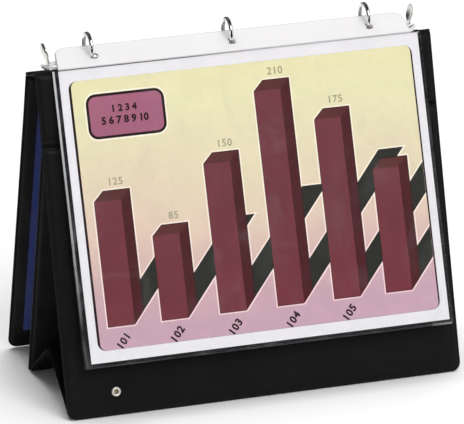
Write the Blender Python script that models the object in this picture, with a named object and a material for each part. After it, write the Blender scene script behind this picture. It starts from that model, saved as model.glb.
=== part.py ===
# Landscape easel binder: three-ring presentation binder whose back cover
# stands up as an easel.  Metres, +Z up, front faces -Y, origin on the floor
# under the middle of the bounding box.
import bpy
import bmesh
import numpy as np
from math import sin, cos, tan, pi, radians, degrees, atan2, sqrt, hypot
from mathutils import Matrix, Vector

for ob in list(bpy.data.objects):
    bpy.data.objects.remove(ob, do_unlink=True)

MM = 0.001

# ------------------------------------------------------------ driving sizes (mm)
GAP = 0.3                  # clearance between touching pieces
WIDTH = 307.8              # covers, along the spine
TILT = 16.46               # lean of the front panel from upright, degrees
PANEL_H = 256.0            # front panel (the binder's back cover)
SKIN = 0.3                 # vinyl sheet
BOARD = 1.6                # chipboard
HALF = BOARD / 2 + GAP + SKIN          # half of the welded panel, 1.4
CREASE = 54.0              # easel weld line below the ridge
R_CORNER = 8.0             # rounded free corners of the covers
ROD = 1.2                  # radius of the folded vinyl at a hinge line

SPINE_W = 25.1             # ridge line to cover hinge line
SPINE_ANG = -18.36         # spine slopes down towards the rear, degrees
COVER_ANG = -75.71         # rear cover, direction of its run from its hinge
COVER_L = 244.8
MID_ANG = -77.08           # easel leg, direction of its run from the crease
MID_L = 198.39

FLAP_T = 1.6               # gusset flap, board in vinyl
FLAP_F = 62.8              # hinge line to peak, front flap
FLAP_R = 59.2              # hinge line to peak, rear flap
FLAP_F_REST = 2.0          # front flap is set this much closer to its panel
TIP_F, TIP_R = 0.3, 3.5    # how far each flap stops short of the peak line
FLAP_X = 152.4             # half length of the flaps

RING_X = 0.1               # middle ring
RING_PITCH = 107.95        # three-hole pitch, 4 1/4 inch
RING_R = 9.9               # wire centre line
WIRE = 1.4                 # wire radius
RING_S, RING_N = 12.8, 14.9   # ring centre: across the spine, above it
METAL_X, METAL_HALF = 1.2, 143.3   # ring metal: middle and half length
ARCH_A, ARCH_B = 10.0, 6.6    # half width and height of its cover plate
ARCH_T = 0.8
PIVOT_S, PIVOT_N = 8.4, 2.0   # blade pivot lines
BLADE_T = 1.0
LEVER_X = 141.0            # lever plate, from the metal's middle
PIN_X, PIN_N = 139.3, 2.6  # lever pin, from the metal's middle

PAGE_B1 = (-3.4, 1.65)     # weld line of the front protector, from the ridge
PAGE_B2 = (-2.05, 1.15)    # weld line of the rear protector
PAGE_A1 = 20.2             # lean of the front page, degrees
PAGE_A2 = 18.3
STRIP_PHI1 = 19.5          # slope of the front binding strip
STRIP_PHI2 = 18.0          # the rear one lies a little flatter
STRIP_L = 23.6
STRIP_T = 0.4
FILM = 0.15
PAPER = 0.2
PAPER_W, PAPER_H = 279.4, 215.9
PAPER_X0 = -136.6
FILM_X0, FILM_X1 = -140.6, 144.8
STRIP_X0, STRIP_X1 = -136.4, 136.9

SNAP_X, SNAP_U = -115.8, 238.6

PANEL_ANG = -(90.0 + TILT)


def rot2(a):
    c, s = cos(radians(a)), sin(radians(a))
    return np.array([[c, -s], [s, c]])


RP = rot2(PANEL_ANG)
FLOOR = min((RP @ np.array([PANEL_H, w]))[1] for w in (HALF, -HALF))
Y_SHIFT = -2.63            # puts the bounding box centre over the origin


def W(y, z):
    """ridge frame (mm) to world (m)"""
    return (0.0, (y + Y_SHIFT) * MM, (z - FLOOR) * MM)


# linkage: crease C, front hinge F, rear hinge M, peak P
AX_C = RP @ np.array([CREASE, 2.9])
AX_F_UW = (PANEL_H - 2.2, HALF + 1.4)
AX_F = RP @ np.array(AX_F_UW)
AX_M_UW = (MID_L - 2.2, -1.1)
AX_M = AX_C + rot2(MID_ANG) @ np.array(AX_M_UW)
d_fm = AX_M - AX_F
D_FM = float(np.hypot(*d_fm))
a_f = (FLAP_F ** 2 - FLAP_R ** 2 + D_FM ** 2) / (2 * D_FM)
e_fm = d_fm / D_FM
PEAK = AX_F + a_f * e_fm + sqrt(FLAP_F ** 2 - a_f ** 2) * np.array([-e_fm[1], e_fm[0]])
ANG_F = degrees(atan2(*(PEAK - AX_F)[::-1])) - 0.0
ANG_FRONT_FLAP = ANG_F + FLAP_F_REST
ANG_REAR_FLAP = degrees(atan2(*(PEAK - AX_M)[::-1]))

# ------------------------------------------------------------ materials


def material(name, rgb, rough, metal=0.0, alpha=1.0, transmission=0.0):
    m = bpy.data.materials.new(name)
    m.use_nodes = True
    b = m.node_tree.nodes["Principled BSDF"]
    b.inputs["Base Color"].default_value = (*rgb, 1.0)
    b.inputs["Roughness"].default_value = rough
    b.inputs["Metallic"].default_value = metal
    b.inputs["Alpha"].default_value = alpha
    b.inputs["Transmission Weight"].default_value = transmission
    m.diffuse_color = (*rgb, 1.0)
    return m


def own(base, *args, **kw):
    """each sub-part has its own material"""
    return material("mat_" + base, *args, **kw)


VINYL = ((0.022, 0.021, 0.022), 0.42)
BOARDC = ((0.34, 0.27, 0.19), 0.9)
CHROME = ((0.78, 0.78, 0.80), 0.08, 1.0)
CLEAR = ((0.93, 0.94, 0.95), 0.08, 0.0, 0.35)
WHITE = ((0.88, 0.87, 0.85), 0.45)
BLUE = ((0.03, 0.05, 0.22), 0.5)

# ------------------------------------------------------------ helpers


def empty(name, parent=None, loc=(0, 0, 0), ang=0.0):
    e = bpy.data.objects.new(name, None)
    bpy.context.scene.collection.objects.link(e)
    e.parent = parent
    e.location = loc
    e.rotation_euler = (radians(ang), 0, 0)
    return e


def finish(name, bm, mat, parent, org=(0, 0, 0), ang=0.0, smooth=None):
    bmesh.ops.recalc_face_normals(bm, faces=bm.faces)
    me = bpy.data.meshes.new(name)
    bm.to_mesh(me)
    bm.free()
    me.materials.append(mat)
    if smooth is not None:
        me.shade_smooth()
        me.set_sharp_from_angle(angle=radians(smooth))
    ob = bpy.data.objects.new(name, me)
    bpy.context.scene.collection.objects.link(ob)
    ob.parent = parent
    ob.location = [v * MM for v in org]
    ob.rotation_euler = (radians(ang), 0, 0)
    return ob


def outline(x0, x1, u0, u1, radii, seg=6):
    """rectangle with rounded corners: (x0,u0) (x1,u0) (x1,u1) (x0,u1)"""
    pts = []
    corners = [(x0, u0, 180), (x1, u0, 270), (x1, u1, 0), (x0, u1, 90)]
    for (cx, cu, a0), r in zip(corners, radii):
        if r <= 0:
            pts.append((cx, cu))
            continue
        ox = cx + (r if cx == x0 else -r)
        ou = cu + (r if cu == u0 else -r)
        for k in range(seg + 1):
            a = radians(a0 + 90.0 * k / seg)
            pts.append((ox + r * cos(a), ou + r * sin(a)))
    return pts


def slot_loop(cx, cu, half_u, r, seg=8):
    """closed loop of a slot along u (round hole when half_u == r)"""
    pts = []
    for k in range(seg + 1):
        a = pi * k / seg
        pts.append((cx + r * cos(a), cu + (half_u - r) + r * sin(a)))
    for k in range(seg + 1):
        a = pi + pi * k / seg
        pts.append((cx + r * cos(a), cu - (half_u - r) + r * sin(a)))
    out = []
    for p in pts:
        if not out or hypot(p[0] - out[-1][0], p[1] - out[-1][1]) > 1e-6:
            out.append(p)
    if hypot(out[0][0] - out[-1][0], out[0][1] - out[-1][1]) < 1e-6:
        out.pop()
    return out


def slab(bm, loops, w0, w1):
    """flat plate from an outer loop and hole loops, between w0 and w1"""
    edges = []
    for loop in loops:
        vs = [bm.verts.new((x * MM, u * MM, w0 * MM)) for x, u in loop]
        edges += [bm.edges.new((vs[i], vs[(i + 1) % len(vs)])) for i in range(len(vs))]
    res = bmesh.ops.triangle_fill(bm, edges=edges, use_beauty=True)
    faces = [f for f in res["geom"] if isinstance(f, bmesh.types.BMFace)]
    ext = bmesh.ops.extrude_face_region(bm, geom=faces)
    vs = [g for g in ext["geom"] if isinstance(g, bmesh.types.BMVert)]
    bmesh.ops.translate(bm, verts=vs, vec=(0, 0, (w1 - w0) * MM))
    return bm


def plate(name, mat, parent, x0, x1, u0, u1, w0, w1, radii=(0, 0, 0, 0),
          holes=(), org=(0, 0, 0), ang=0.0):
    bm = bmesh.new()
    slab(bm, [outline(x0, x1, u0, u1, radii)] + [slot_loop(*h) for h in holes], w0, w1)
    return finish(name, bm, mat, parent, org, ang)


def rod(name, mat, parent, x0, x1, r, u=0.0, w=0.0, seg=12):
    bm = bmesh.new()
    bmesh.ops.create_cone(bm, cap_ends=True, segments=seg, radius1=r * MM, radius2=r * MM,
                          depth=(x1 - x0) * MM,
                          matrix=Matrix.Translation(((x0 + x1) / 2 * MM, 0, 0)) @
                          Matrix.Rotation(pi / 2, 4, 'Y'))
    return finish(name, bm, mat, parent, (0, u, w), 0.0, smooth=40)


def lathe(name, mat, parent, profile, org, seg=24, closed=False, smooth=40):
    """turned piece about its own z; profile of (r, z) in mm"""
    bm = bmesh.new()
    rings = []
    for r, z in profile:
        if r < 1e-6:
            rings.append([bm.verts.new((0, 0, z * MM))])
        else:
            rings.append([bm.verts.new((r * cos(2 * pi * k / seg) * MM,
                                        r * sin(2 * pi * k / seg) * MM, z * MM))
                          for k in range(seg)])
    n = len(rings)
    for i in range(n if closed else n - 1):
        a, b = rings[i], rings[(i + 1) % n]
        for k in range(seg):
            k2 = (k + 1) % seg
            if len(a) == 1 and len(b) == 1:
                continue
            if len(a) == 1:
                bm.faces.new((a[0], b[k], b[k2]))
            elif len(b) == 1:
                bm.faces.new((a[k], b[0], a[k2]))
            else:
                bm.faces.new((a[k], b[k], b[k2], a[k2]))
    return finish(name, bm, mat, parent, org, 0.0, smooth=smooth)


def tube(name, mat, parent, path, r, org, seg=12):
    """round wire along a path in the (y, z) plane"""
    bm = bmesh.new()
    rings = []
    n = len(path)
    for i, (y, z) in enumerate(path):
        a = path[max(i - 1, 0)]
        b = path[min(i + 1, n - 1)]
        t = Vector((0, b[0] - a[0], b[1] - a[1])).normalized()
        nx = Vector((1, 0, 0))
        ny = t.cross(nx)
        ring = []
        for k in range(seg):
            ph = 2 * pi * k / seg
            p = Vector((0, y, z)) + r * (cos(ph) * nx + sin(ph) * ny)
            ring.append(bm.verts.new(p * MM))
        rings.append(ring)
    for i in range(n - 1):
        for k in range(seg):
            k2 = (k + 1) % seg
            bm.faces.new((rings[i][k], rings[i][k2], rings[i + 1][k2], rings[i + 1][k]))
    bm.faces.new(rings[0])
    bm.faces.new(list(reversed(rings[-1])))
    return finish(name, bm, mat, parent, org, 0.0, smooth=40)


def prism_x(name, mat, parent, profile, x0, x1, org=(0, 0, 0), smooth=None):
    """closed (y, z) profile extruded along x"""
    bm = bmesh.new()
    lo = [bm.verts.new((x0 * MM, y * MM, z * MM)) for y, z in profile]
    hi = [bm.verts.new((x1 * MM, y * MM, z * MM)) for y, z in profile]
    n = len(profile)
    for i in range(n):
        j = (i + 1) % n
        bm.faces.new((lo[i], lo[j], hi[j], hi[i]))
    bm.faces.new(lo)
    bm.faces.new(hi)
    return finish(name, bm, mat, parent, org, 0.0, smooth=smooth)


def cut(target, loops_boxes):
    """box cutters (x0,x1,y0,y1,z0,z1) joined in one hidden cutter object"""
    bm = bmesh.new()
    for (x0, x1, y0, y1, z0, z1) in loops_boxes:
        bmesh.ops.create_cube(bm, size=1.0, matrix=Matrix.Translation(
            ((x0 + x1) / 2 * MM, (y0 + y1) / 2 * MM, (z0 + z1) / 2 * MM)) @
            Matrix.Diagonal(((x1 - x0) * MM, (y1 - y0) * MM, (z1 - z0) * MM, 1.0)))
    me = bpy.data.meshes.new(target.name + "_cutter")
    bm.to_mesh(me)
    bm.free()
    ob = bpy.data.objects.new(target.name + "_cutter", me)
    bpy.context.scene.collection.objects.link(ob)
    ob.parent = target.parent
    ob.location = target.location
    ob.rotation_euler = target.rotation_euler
    ob.hide_render = True
    ob.display_type = 'WIRE'
    md = target.modifiers.new("cut", 'BOOLEAN')
    md.operation = 'DIFFERENCE'
    md.object = ob
    md.solver = 'EXACT'
    return ob


HX = WIDTH / 2
RIM = 3.0                      # welded vinyl rim outside the boards
snap_hole = (SNAP_X, SNAP_U, 1.9, 1.9)

# ------------------------------------------------------------ front panel (root)
# local axes: x along the ridge, y down the panel, z out of its rear face
E_FRONT = empty("E_front", None, W(0, 0), PANEL_ANG)
plate("front_panel_inner_vinyl", own("front_panel_inner_vinyl", *VINYL), E_FRONT,
      -HX, HX, 1.8, PANEL_H, -HALF, -HALF + SKIN, (0, 0, R_CORNER, R_CORNER), [snap_hole])
plate("front_panel_outer_vinyl", own("front_panel_outer_vinyl", *VINYL), E_FRONT,
      -HX, HX, 1.8, PANEL_H, HALF - SKIN, HALF, (0, 0, R_CORNER, R_CORNER), [snap_hole])
plate("front_panel_board_upper", own("front_panel_board_upper", *BOARDC), E_FRONT,
      -HX + RIM, HX - RIM, 1.8 + RIM, CREASE - 2.5, -BOARD / 2, BOARD / 2)
plate("front_panel_board_lower", own("front_panel_board_lower", *BOARDC), E_FRONT,
      -HX + RIM, HX - RIM, CREASE + 2.5, PANEL_H - RIM, -BOARD / 2, BOARD / 2,
      (0, 0, R_CORNER - RIM, R_CORNER - RIM), [snap_hole])
rod("ridge_hinge_vinyl", own("ridge_hinge_vinyl", *VINYL), E_FRONT, -HX, HX, ROD)
rod("easel_hinge_vinyl", own("easel_hinge_vinyl", *VINYL), E_FRONT, -FLAP_X, FLAP_X, 1.1,
    CREASE, 2.9)
rod("front_flap_hinge_vinyl", own("front_flap_hinge_vinyl", *VINYL), E_FRONT,
    -FLAP_X + 8, FLAP_X - 8, 1.1, *AX_F_UW)

# snap fastener: ring-shaped socket on the front face, eyelet through the panel
lathe("snap_socket", own("snap_socket", *CHROME), E_FRONT,
      [(1.9, -HALF - GAP), (4.0, -HALF - GAP), (4.0, -HALF - 0.8), (3.75, -HALF - 1.5),
       (3.2, -HALF - 1.95), (2.7, -HALF - 2.05), (2.2, -HALF - 1.85), (1.9, -HALF - 1.4)],
      (SNAP_X, SNAP_U, 0), closed=True)
lathe("snap_eyelet", own("snap_eyelet", (0.45, 0.36, 0.24), 0.35, 1.0), E_FRONT,
      [(0, HALF + 0.4), (3.4, HALF + 0.4), (3.8, HALF + 0.3), (3.8, HALF + 0.15),
       (1.5, HALF + 0.15), (1.5, -HALF - 0.7), (1.2, -HALF - 1.0), (0, -HALF - 1.0)],
      (SNAP_X, SNAP_U, 0))

# ------------------------------------------------------------ spine
# local axes: x along the spine, y across it to the rear, z out of its inner face
E_SPINE = empty("E_spine", None, W(0, 0), SPINE_ANG)
RIVET_X = 129.5
rivet_holes = [(METAL_X + k * RIVET_X, RING_S, 1.9, 1.9) for k in (-1, 1)]
plate("spine_inner_vinyl", own("spine_inner_vinyl", *VINYL), E_SPINE,
      -HX, HX, 1.9, SPINE_W - 1.9, -SKIN, 0, (0, 0, 0, 0), rivet_holes)
plate("spine_board", own("spine_board", *BOARDC), E_SPINE,
      -HX + RIM, HX - RIM, 3.1, SPINE_W - 3.1, -SKIN - GAP - BOARD, -SKIN - GAP,
      (0, 0, 0, 0), rivet_holes)
plate("spine_outer_vinyl", own("spine_outer_vinyl", *VINYL), E_SPINE,
      -HX, HX, 1.9, SPINE_W - 1.9, -2 * HALF, -2 * HALF + SKIN, (0, 0, 0, 0), rivet_holes)
rod("cover_hinge_vinyl", own("cover_hinge_vinyl", *VINYL), E_SPINE, -HX, HX, ROD, SPINE_W, 0)

# ring metal cover plate: sprung steel arch with inward lips that seat the blades
BASE_N = GAP
prof = []
N_ARC = 16
for k in range(N_ARC + 1):
    a = pi * k / N_ARC
    prof.append((RING_S + ARCH_A * cos(a), BASE_N + ARCH_B * sin(a)))
prof += [(RING_S - ARCH_A + 1.9, BASE_N), (RING_S - ARCH_A + 1.9, BASE_N + 0.7),
         (RING_S - ARCH_A + ARCH_T, BASE_N + 0.7)]
for k in range(1, N_ARC):
    a = pi - pi * k / N_ARC
    prof.append((RING_S + (ARCH_A - ARCH_T) * cos(a), BASE_N + (ARCH_B - ARCH_T) * sin(a)))
prof += [(RING_S + ARCH_A - ARCH_T, BASE_N + 0.7), (RING_S + ARCH_A - 1.9, BASE_N + 0.7),
         (RING_S + ARCH_A - 1.9, BASE_N)]
arch = prism_x("ring_metal_cover", own("ring_metal_cover", *CHROME), E_SPINE, prof,
               METAL_X - METAL_HALF, METAL_X + METAL_HALF, smooth=30)
boxes = []
for k in (-1, 0, 1):
    xr = RING_X + k * RING_PITCH
    boxes.append((xr - 1.9, xr + 1.9, RING_S - 8.6, RING_S - 3.5, 3.2, 9.0))
    boxes.append((xr - 1.9, xr + 1.9, RING_S + 3.5, RING_S + 8.6, 3.2, 9.0))
for k in (-1, 1):
    xl = sorted((METAL_X + k * (LEVER_X - 0.9), METAL_X + k * (METAL_HALF + 1.0)))
    boxes.append((xl[0], xl[1], RING_S - 5.4, RING_S + 5.4, 2.0, 9.0))
    xv = METAL_X + k * RIVET_X
    boxes.append((xv - 1.8, xv + 1.8, RING_S - 1.8, RING_S + 1.8, 5.0, 9.0))
cut(arch, boxes)

# two rivets hold the ring metal on the spine
for tag, k in (("left", -1), ("right", 1)):
    lathe("rivet_" + tag, own("rivet_" + tag, *CHROME), E_SPINE,
          [(0, 8.6), (1.6, 8.45), (2.7, 8.0), (3.1, 7.6), (1.5, 7.6), (1.5, -2 * HALF - GAP),
           (3.6, -2 * HALF - GAP), (3.6, -2 * HALF - GAP - 0.5), (3.0, -2 * HALF - GAP - 0.9),
           (0, -2 * HALF - GAP - 0.9)],
          (METAL_X + k * RIVET_X, RING_S, 0))
    bm = bmesh.new()
    bmesh.ops.create_cone(bm, cap_ends=True, segments=12, radius1=0.9 * MM, radius2=0.9 * MM,
                          depth=14.6 * MM, matrix=Matrix.Rotation(pi / 2, 4, 'X'))
    finish("lever_pin_" + tag, bm, own("lever_pin_" + tag, *CHROME), E_SPINE,
           (METAL_X + k * PIN_X, RING_S, PIN_N), 0.0, smooth=40)

# ring jaws: a blade and three half rings each, turning on the blade's outer edge
BLADE_X = 124.0


def half_ring_path(side):
    """side -1 front, +1 rear; points relative to the jaw's pivot"""
    pts = []
    a0, a1 = 90.0 - side * 1.2, 90.0 - side * 138.0
    for k in range(21):
        a = radians(a0 + (a1 - a0) * k / 20)
        pts.append((RING_R * cos(a), RING_R * sin(a)))
    end = Vector((pts[-1][0], pts[-1][1]))
    a = radians(a1)
    tan_v = Vector((sin(a), -cos(a))) * side
    foot = Vector((side * 5.4, -(RING_N - PIVOT_N - BLADE_T / 2 - GAP)))
    p1 = end + tan_v * 1.7
    p2 = foot + Vector((0, 1.8))
    for k in range(1, 6):
        t = k / 5
        q = ((1 - t) ** 3 * end + 3 * (1 - t) ** 2 * t * p1 +
             3 * (1 - t) * t * t * p2 + t ** 3 * foot)
        pts.append((q.x, q.y))
    return [(y + RING_S - (RING_S + side * PIVOT_S), z + RING_N - PIVOT_N) for y, z in pts]


E_JAW = {}
for side, tag in ((-1, "front"), (1, "rear")):
    E = empty("E_jaw_" + tag, E_SPINE, (0, (RING_S + side * PIVOT_S) * MM, PIVOT_N * MM))
    E_JAW[tag] = E
    inner = -side * (PIVOT_S - 0.35)
    y0, y1 = sorted((0.0, inner))
    plate("blade_" + tag, own("blade_" + tag, (0.55, 0.56, 0.58), 0.35, 1.0), E,
          METAL_X - BLADE_X, METAL_X + BLADE_X, y0, y1, -BLADE_T / 2, BLADE_T / 2)
    path = half_ring_path(side)
    for pos, k in (("left", -1), ("middle", 0), ("right", 1)):
        tube("ring_%s_%s_half" % (pos, tag), own("ring_%s_%s_half" % (pos, tag), *CHROME), E,
             path, WIRE, (RING_X + k * RING_PITCH, 0, 0))

# levers at both ends: spoon-shaped sheet tabs that swing outwards
for tag, k in (("left", -1), ("right", 1)):
    E = empty("E_lever_" + tag, E_SPINE,
              ((METAL_X + k * PIN_X) * MM, RING_S * MM, PIN_N * MM))
    bm = bmesh.new()
    off = LEVER_X - PIN_X
    spec = [  # outward offset, height above the pin, half width
        (off, -1.0, 4.2), (off, 2.0, 4.4), (off, 4.6, 4.5), (off + 0.15, 6.4, 5.0),
        (off + 0.7, 8.2, 5.9), (off + 1.5, 10.2, 6.5), (off + 2.2, 12.2, 6.4),
        (off + 2.5, 14.0, 5.6), (off + 2.35, 15.6, 4.0), (off + 2.0, 16.6, 2.0)]
    T = 1.0
    cols = 6
    grids = []
    for s_ in (-0.5, 0.5):
        grid = []
        for i, (ox, h, hw) in enumerate(spec):
            pa = spec[max(i - 1, 0)]
            pb = spec[min(i + 1, len(spec) - 1)]
            dx, dh = pb[0] - pa[0], pb[1] - pa[1]
            ln = hypot(dx, dh)
            nx, nh = dh / ln, -dx / ln
            row = []
            for c in range(cols + 1):
                t = -1 + 2 * c / cols
                row.append(bm.verts.new((k * (ox + nx * s_ * T) * MM, t * hw * MM,
                                         (h + nh * s_ * T) * MM)))
            grid.append(row)
        grids.append(grid)
    A, B = grids
    nr = len(spec)
    for i in range(nr - 1):
        for c in range(cols):
            bm.faces.new((A[i][c], A[i][c + 1], A[i + 1][c + 1], A[i + 1][c]))
            bm.faces.new((B[i][c], B[i + 1][c], B[i + 1][c + 1], B[i][c + 1]))
        bm.faces.new((A[i][0], A[i + 1][0], B[i + 1][0], B[i][0]))
        bm.faces.new((A[i][cols], B[i][cols], B[i + 1][cols], A[i + 1][cols]))
    for c in range(cols):
        bm.faces.new((A[0][c], B[0][c], B[0][c + 1], A[0][c + 1]))
        bm.faces.new((A[-1][c], A[-1][c + 1], B[-1][c + 1], B[-1][c]))
    finish("lever_" + tag, bm, own("lever_" + tag, *CHROME), E, (0, 0, 0), 0.0, smooth=35)

# ------------------------------------------------------------ rear cover
# local axes: x, y down the cover, z out of its inner face (which faces the rear)
E_COVER = empty("E_cover", E_SPINE, (0, SPINE_W * MM, 0), COVER_ANG - SPINE_ANG)
CV0 = 2.3
plate("rear_cover_inner_vinyl", own("rear_cover_inner_vinyl", *VINYL), E_COVER,
      -HX, HX, CV0, COVER_L, -GAP - SKIN, -GAP, (0, 0, R_CORNER, R_CORNER), [snap_hole])
plate("rear_cover_board", own("rear_cover_board", *BOARDC), E_COVER,
      -HX + RIM, HX - RIM, CV0 + RIM, COVER_L - RIM, -2 * GAP - SKIN - BOARD, -2 * GAP - SKIN,
      (0, 0, R_CORNER - RIM, R_CORNER - RIM), [snap_hole])
plate("rear_cover_outer_vinyl", own("rear_cover_outer_vinyl", *VINYL), E_COVER,
      -HX, HX, CV0, COVER_L, -GAP - 2 * HALF, -GAP - 2 * HALF + SKIN,
      (0, 0, R_CORNER, R_CORNER), [snap_hole])
OUT = -GAP - 2 * HALF
plate("cover_insert_sheet", own("cover_insert_sheet", *BLUE), E_COVER,
      -HX + 12.3, HX - 12.3, 13.0, COVER_L - 15.5, OUT - GAP - PAPER, OUT - GAP)
plate("cover_pocket_film", own("cover_pocket_film", *CLEAR), E_COVER,
      -HX + 3.0, HX - 3.0, CV0 + 2.0, COVER_L - 12.5, OUT - 2 * GAP - PAPER - FILM,
      OUT - 2 * GAP - PAPER)
lathe("cover_snap_stud", own("cover_snap_stud", *CHROME), E_COVER,
      [(0, 2.2), (1.2, 2.1), (1.65, 1.7), (1.5, 1.2), (1.7, 0.8), (3.6, 0.6), (3.8, 0.3),
       (3.8, 0.0), (1.5, 0.0), (1.5, OUT - GAP - 0.0), (0, OUT - GAP - 0.0)],
      (SNAP_X, SNAP_U, 0))
lathe("cover_snap_cap", own("cover_snap_cap", *CHROME), E_COVER,
      [(0, OUT - 2 * GAP - 0.9), (2.4, OUT - 2 * GAP - 0.8), (3.6, OUT - 2 * GAP - 0.4),
       (3.8, OUT - GAP), (1.8, OUT - GAP), (1.8, OUT - 2 * GAP), (0, OUT - 2 * GAP)],
      (SNAP_X, SNAP_U, 0))

# ------------------------------------------------------------ easel leg (middle panel)
# local axes: x, y down the leg, z out of its rear face
E_MID = empty("E_mid", None, W(*AX_C), MID_ANG)
plate("easel_leg_front_vinyl", own("easel_leg_front_vinyl", *VINYL), E_MID,
      -HX + 0.5, HX - 0.5, 1.9, MID_L, 0.3, 0.3 + SKIN, (0, 0, 0, 0))
plate("easel_leg_board", own("easel_leg_board", *BOARDC), E_MID,
      -HX + RIM, HX - RIM, 1.9 + RIM, MID_L - RIM, 0.3 + SKIN + GAP, 0.3 + SKIN + GAP + BOARD)
plate("easel_leg_rear_vinyl", own("easel_leg_rear_vinyl", *VINYL), E_MID,
      -HX + 0.5, HX - 0.5, 1.9, MID_L, 0.3 + 2 * HALF - SKIN, 0.3 + 2 * HALF, (0, 0, 0, 0))
rod("rear_flap_hinge_vinyl", own("rear_flap_hinge_vinyl", *VINYL), E_MID,
    -FLAP_X + 1, FLAP_X - 1, 1.1, *AX_M_UW)

# ------------------------------------------------------------ gusset flaps
E_FLAP_F = empty("E_flap_front", E_FRONT, (0, AX_F_UW[0] * MM, AX_F_UW[1] * MM),
                 ANG_FRONT_FLAP - PANEL_ANG)
plate("gusset_front_flap", own("gusset_front_flap", *VINYL), E_FLAP_F,
      -FLAP_X, FLAP_X, 1.8, FLAP_F - TIP_F - 1.9, -FLAP_T / 2, FLAP_T / 2)
rod("gusset_peak_vinyl", own("gusset_peak_vinyl", *VINYL), E_FLAP_F,
    -FLAP_X, FLAP_X, 0.8, FLAP_F - TIP_F - 0.8, 0.0)
E_FLAP_R = empty("E_flap_rear", E_MID, (0, AX_M_UW[0] * MM, AX_M_UW[1] * MM),
                 ANG_REAR_FLAP - MID_ANG)
plate("gusset_rear_flap", own("gusset_rear_flap", *VINYL), E_FLAP_R,
      -FLAP_X, FLAP_X, 1.8, FLAP_R - TIP_R, -FLAP_T / 2, FLAP_T / 2)

# ------------------------------------------------------------ sheet protectors
# ring centre in the ridge frame
RS = rot2(SPINE_ANG)
CEN = RS @ np.array([RING_S, RING_N])


def protector(tag, b, phi, strip_parent, page_parent_fn):
    """binding strip, film sleeve and sheet; b is the weld line in the ridge frame"""
    b = np.array(b)
    strip_dir = np.array([cos(radians(phi)), sin(radians(phi))])
    rel = CEN - b
    l_c = float(rel @ strip_dir)
    perp = float(rel @ np.array([-strip_dir[1], strip_dir[0]]))
    l_hole = l_c - sqrt(RING_R ** 2 - perp ** 2)
    holes = [(RING_X + k * RING_PITCH, l_hole - 0.7, 4.0, 3.2) for k in (-1, 0, 1)]
    x0, x1 = STRIP_X0, STRIP_X1
    loop = outline(x0, x1, 0.4, STRIP_L, (0, 0, 7.0, 7.0), 7)
    loop = [(x + (2.0 if x < 0 else 1.0) * u / STRIP_L, u) for x, u in loop]
    bm = bmesh.new()
    slab(bm, [loop] + [slot_loop(*h) for h in holes], -STRIP_T / 2, STRIP_T / 2)
    off = b - CEN
    finish("binding_strip_" + tag, bm, own("binding_strip_" + tag, *WHITE), strip_parent,
           (0, off[0], off[1]), phi)
    pe = page_parent_fn(b)
    # sleeve: film on both sides, closed at the bottom and the ends, open at the top
    th = FILM + GAP + PAPER / 2
    u0, u1 = 0.8, PAPER_H + 3.4
    bm = bmesh.new()
    o = [(FILM_X0, u0), (FILM_X1, u0), (FILM_X1, u1), (FILM_X0, u1)]
    ti = GAP + PAPER / 2
    i_ = [(FILM_X0 + 1.2, u0), (FILM_X1 - 1.2, u0), (FILM_X1 - 1.2, u1 - 1.2),
          (FILM_X0 + 1.2, u1 - 1.2)]

    def vv(p, w):
        return bm.verts.new((p[0] * MM, p[1] * MM, w * MM))
    of = [vv(p, -th) for p in o]
    ob_ = [vv(p, th) for p in o]
    nf = [vv(p, -ti) for p in i_]
    nb = [vv(p, ti) for p in i_]
    bm.faces.new((of[0], of[1], of[2], of[3]))
    bm.faces.new((ob_[3], ob_[2], ob_[1], ob_[0]))
    bm.faces.new((of[1], ob_[1], ob_[2], of[2]))
    bm.faces.new((of[2], ob_[2], ob_[3], of[3]))
    bm.faces.new((of[3], ob_[3], ob_[0], of[0]))
    # mouth rim
    bm.faces.new((of[0], nf[0], nf[1], of[1]))
    bm.faces.new((ob_[0], ob_[1], nb[1], nb[0]))
    bm.faces.new((of[0], ob_[0], nb[0], nf[0]))
    bm.faces.new((of[1], nf[1], nb[1], ob_[1]))
    # pocket
    bm.faces.new((nf[0], nf[3], nf[2], nf[1]))
    bm.faces.new((nb[0], nb[1], nb[2], nb[3]))
    bm.faces.new((nf[1], nf[2], nb[2], nb[1]))
    bm.faces.new((nf[2], nf[3], nb[3], nb[2]))
    bm.faces.new((nf[3], nf[0], nb[0], nb[3]))
    finish("protector_sleeve_" + tag, bm, own("protector_sleeve_" + tag, *CLEAR), pe[0],
           pe[1], pe[2])
    plate("page_sheet_" + tag, own("page_sheet_" + tag, (0.85, 0.78, 0.62), 0.6), pe[0],
          PAPER_X0, PAPER_X0 + PAPER_W, u0 + 0.2, u0 + 0.2 + PAPER_H,
          -PAPER / 2, PAPER / 2, org=pe[1], ang=pe[2])


E_STACK = empty("E_page_stack", E_SPINE, (0, RING_S * MM, RING_N * MM), -SPINE_ANG)
protector("rear", PAGE_B2, STRIP_PHI2, E_STACK,
          lambda b: (E_STACK, (0, b[0] - CEN[0], b[1] - CEN[1]), -(90 + PAGE_A2)))
E_STRIP1 = empty("E_strip_front", E_STACK, (0, 0, 0), 0.0)


def page1(b):
    e = empty("E_page_front", E_STRIP1, (0, (b[0] - CEN[0]) * MM, (b[1] - CEN[1]) * MM), 0.0)
    return (e, (0, 0, 0), -(90 + PAGE_A1))


protector("front", PAGE_B1, STRIP_PHI1, E_STRIP1, page1)
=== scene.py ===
# Landscape easel binder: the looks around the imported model.
# Metres, +Z up; helper frames are in millimetres from the ridge line.
import bpy
import bmesh
import numpy as np
from math import sin, cos, exp, pi, radians, degrees, sqrt, hypot, atan2
from mathutils import Matrix, Vector, geometry


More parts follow.
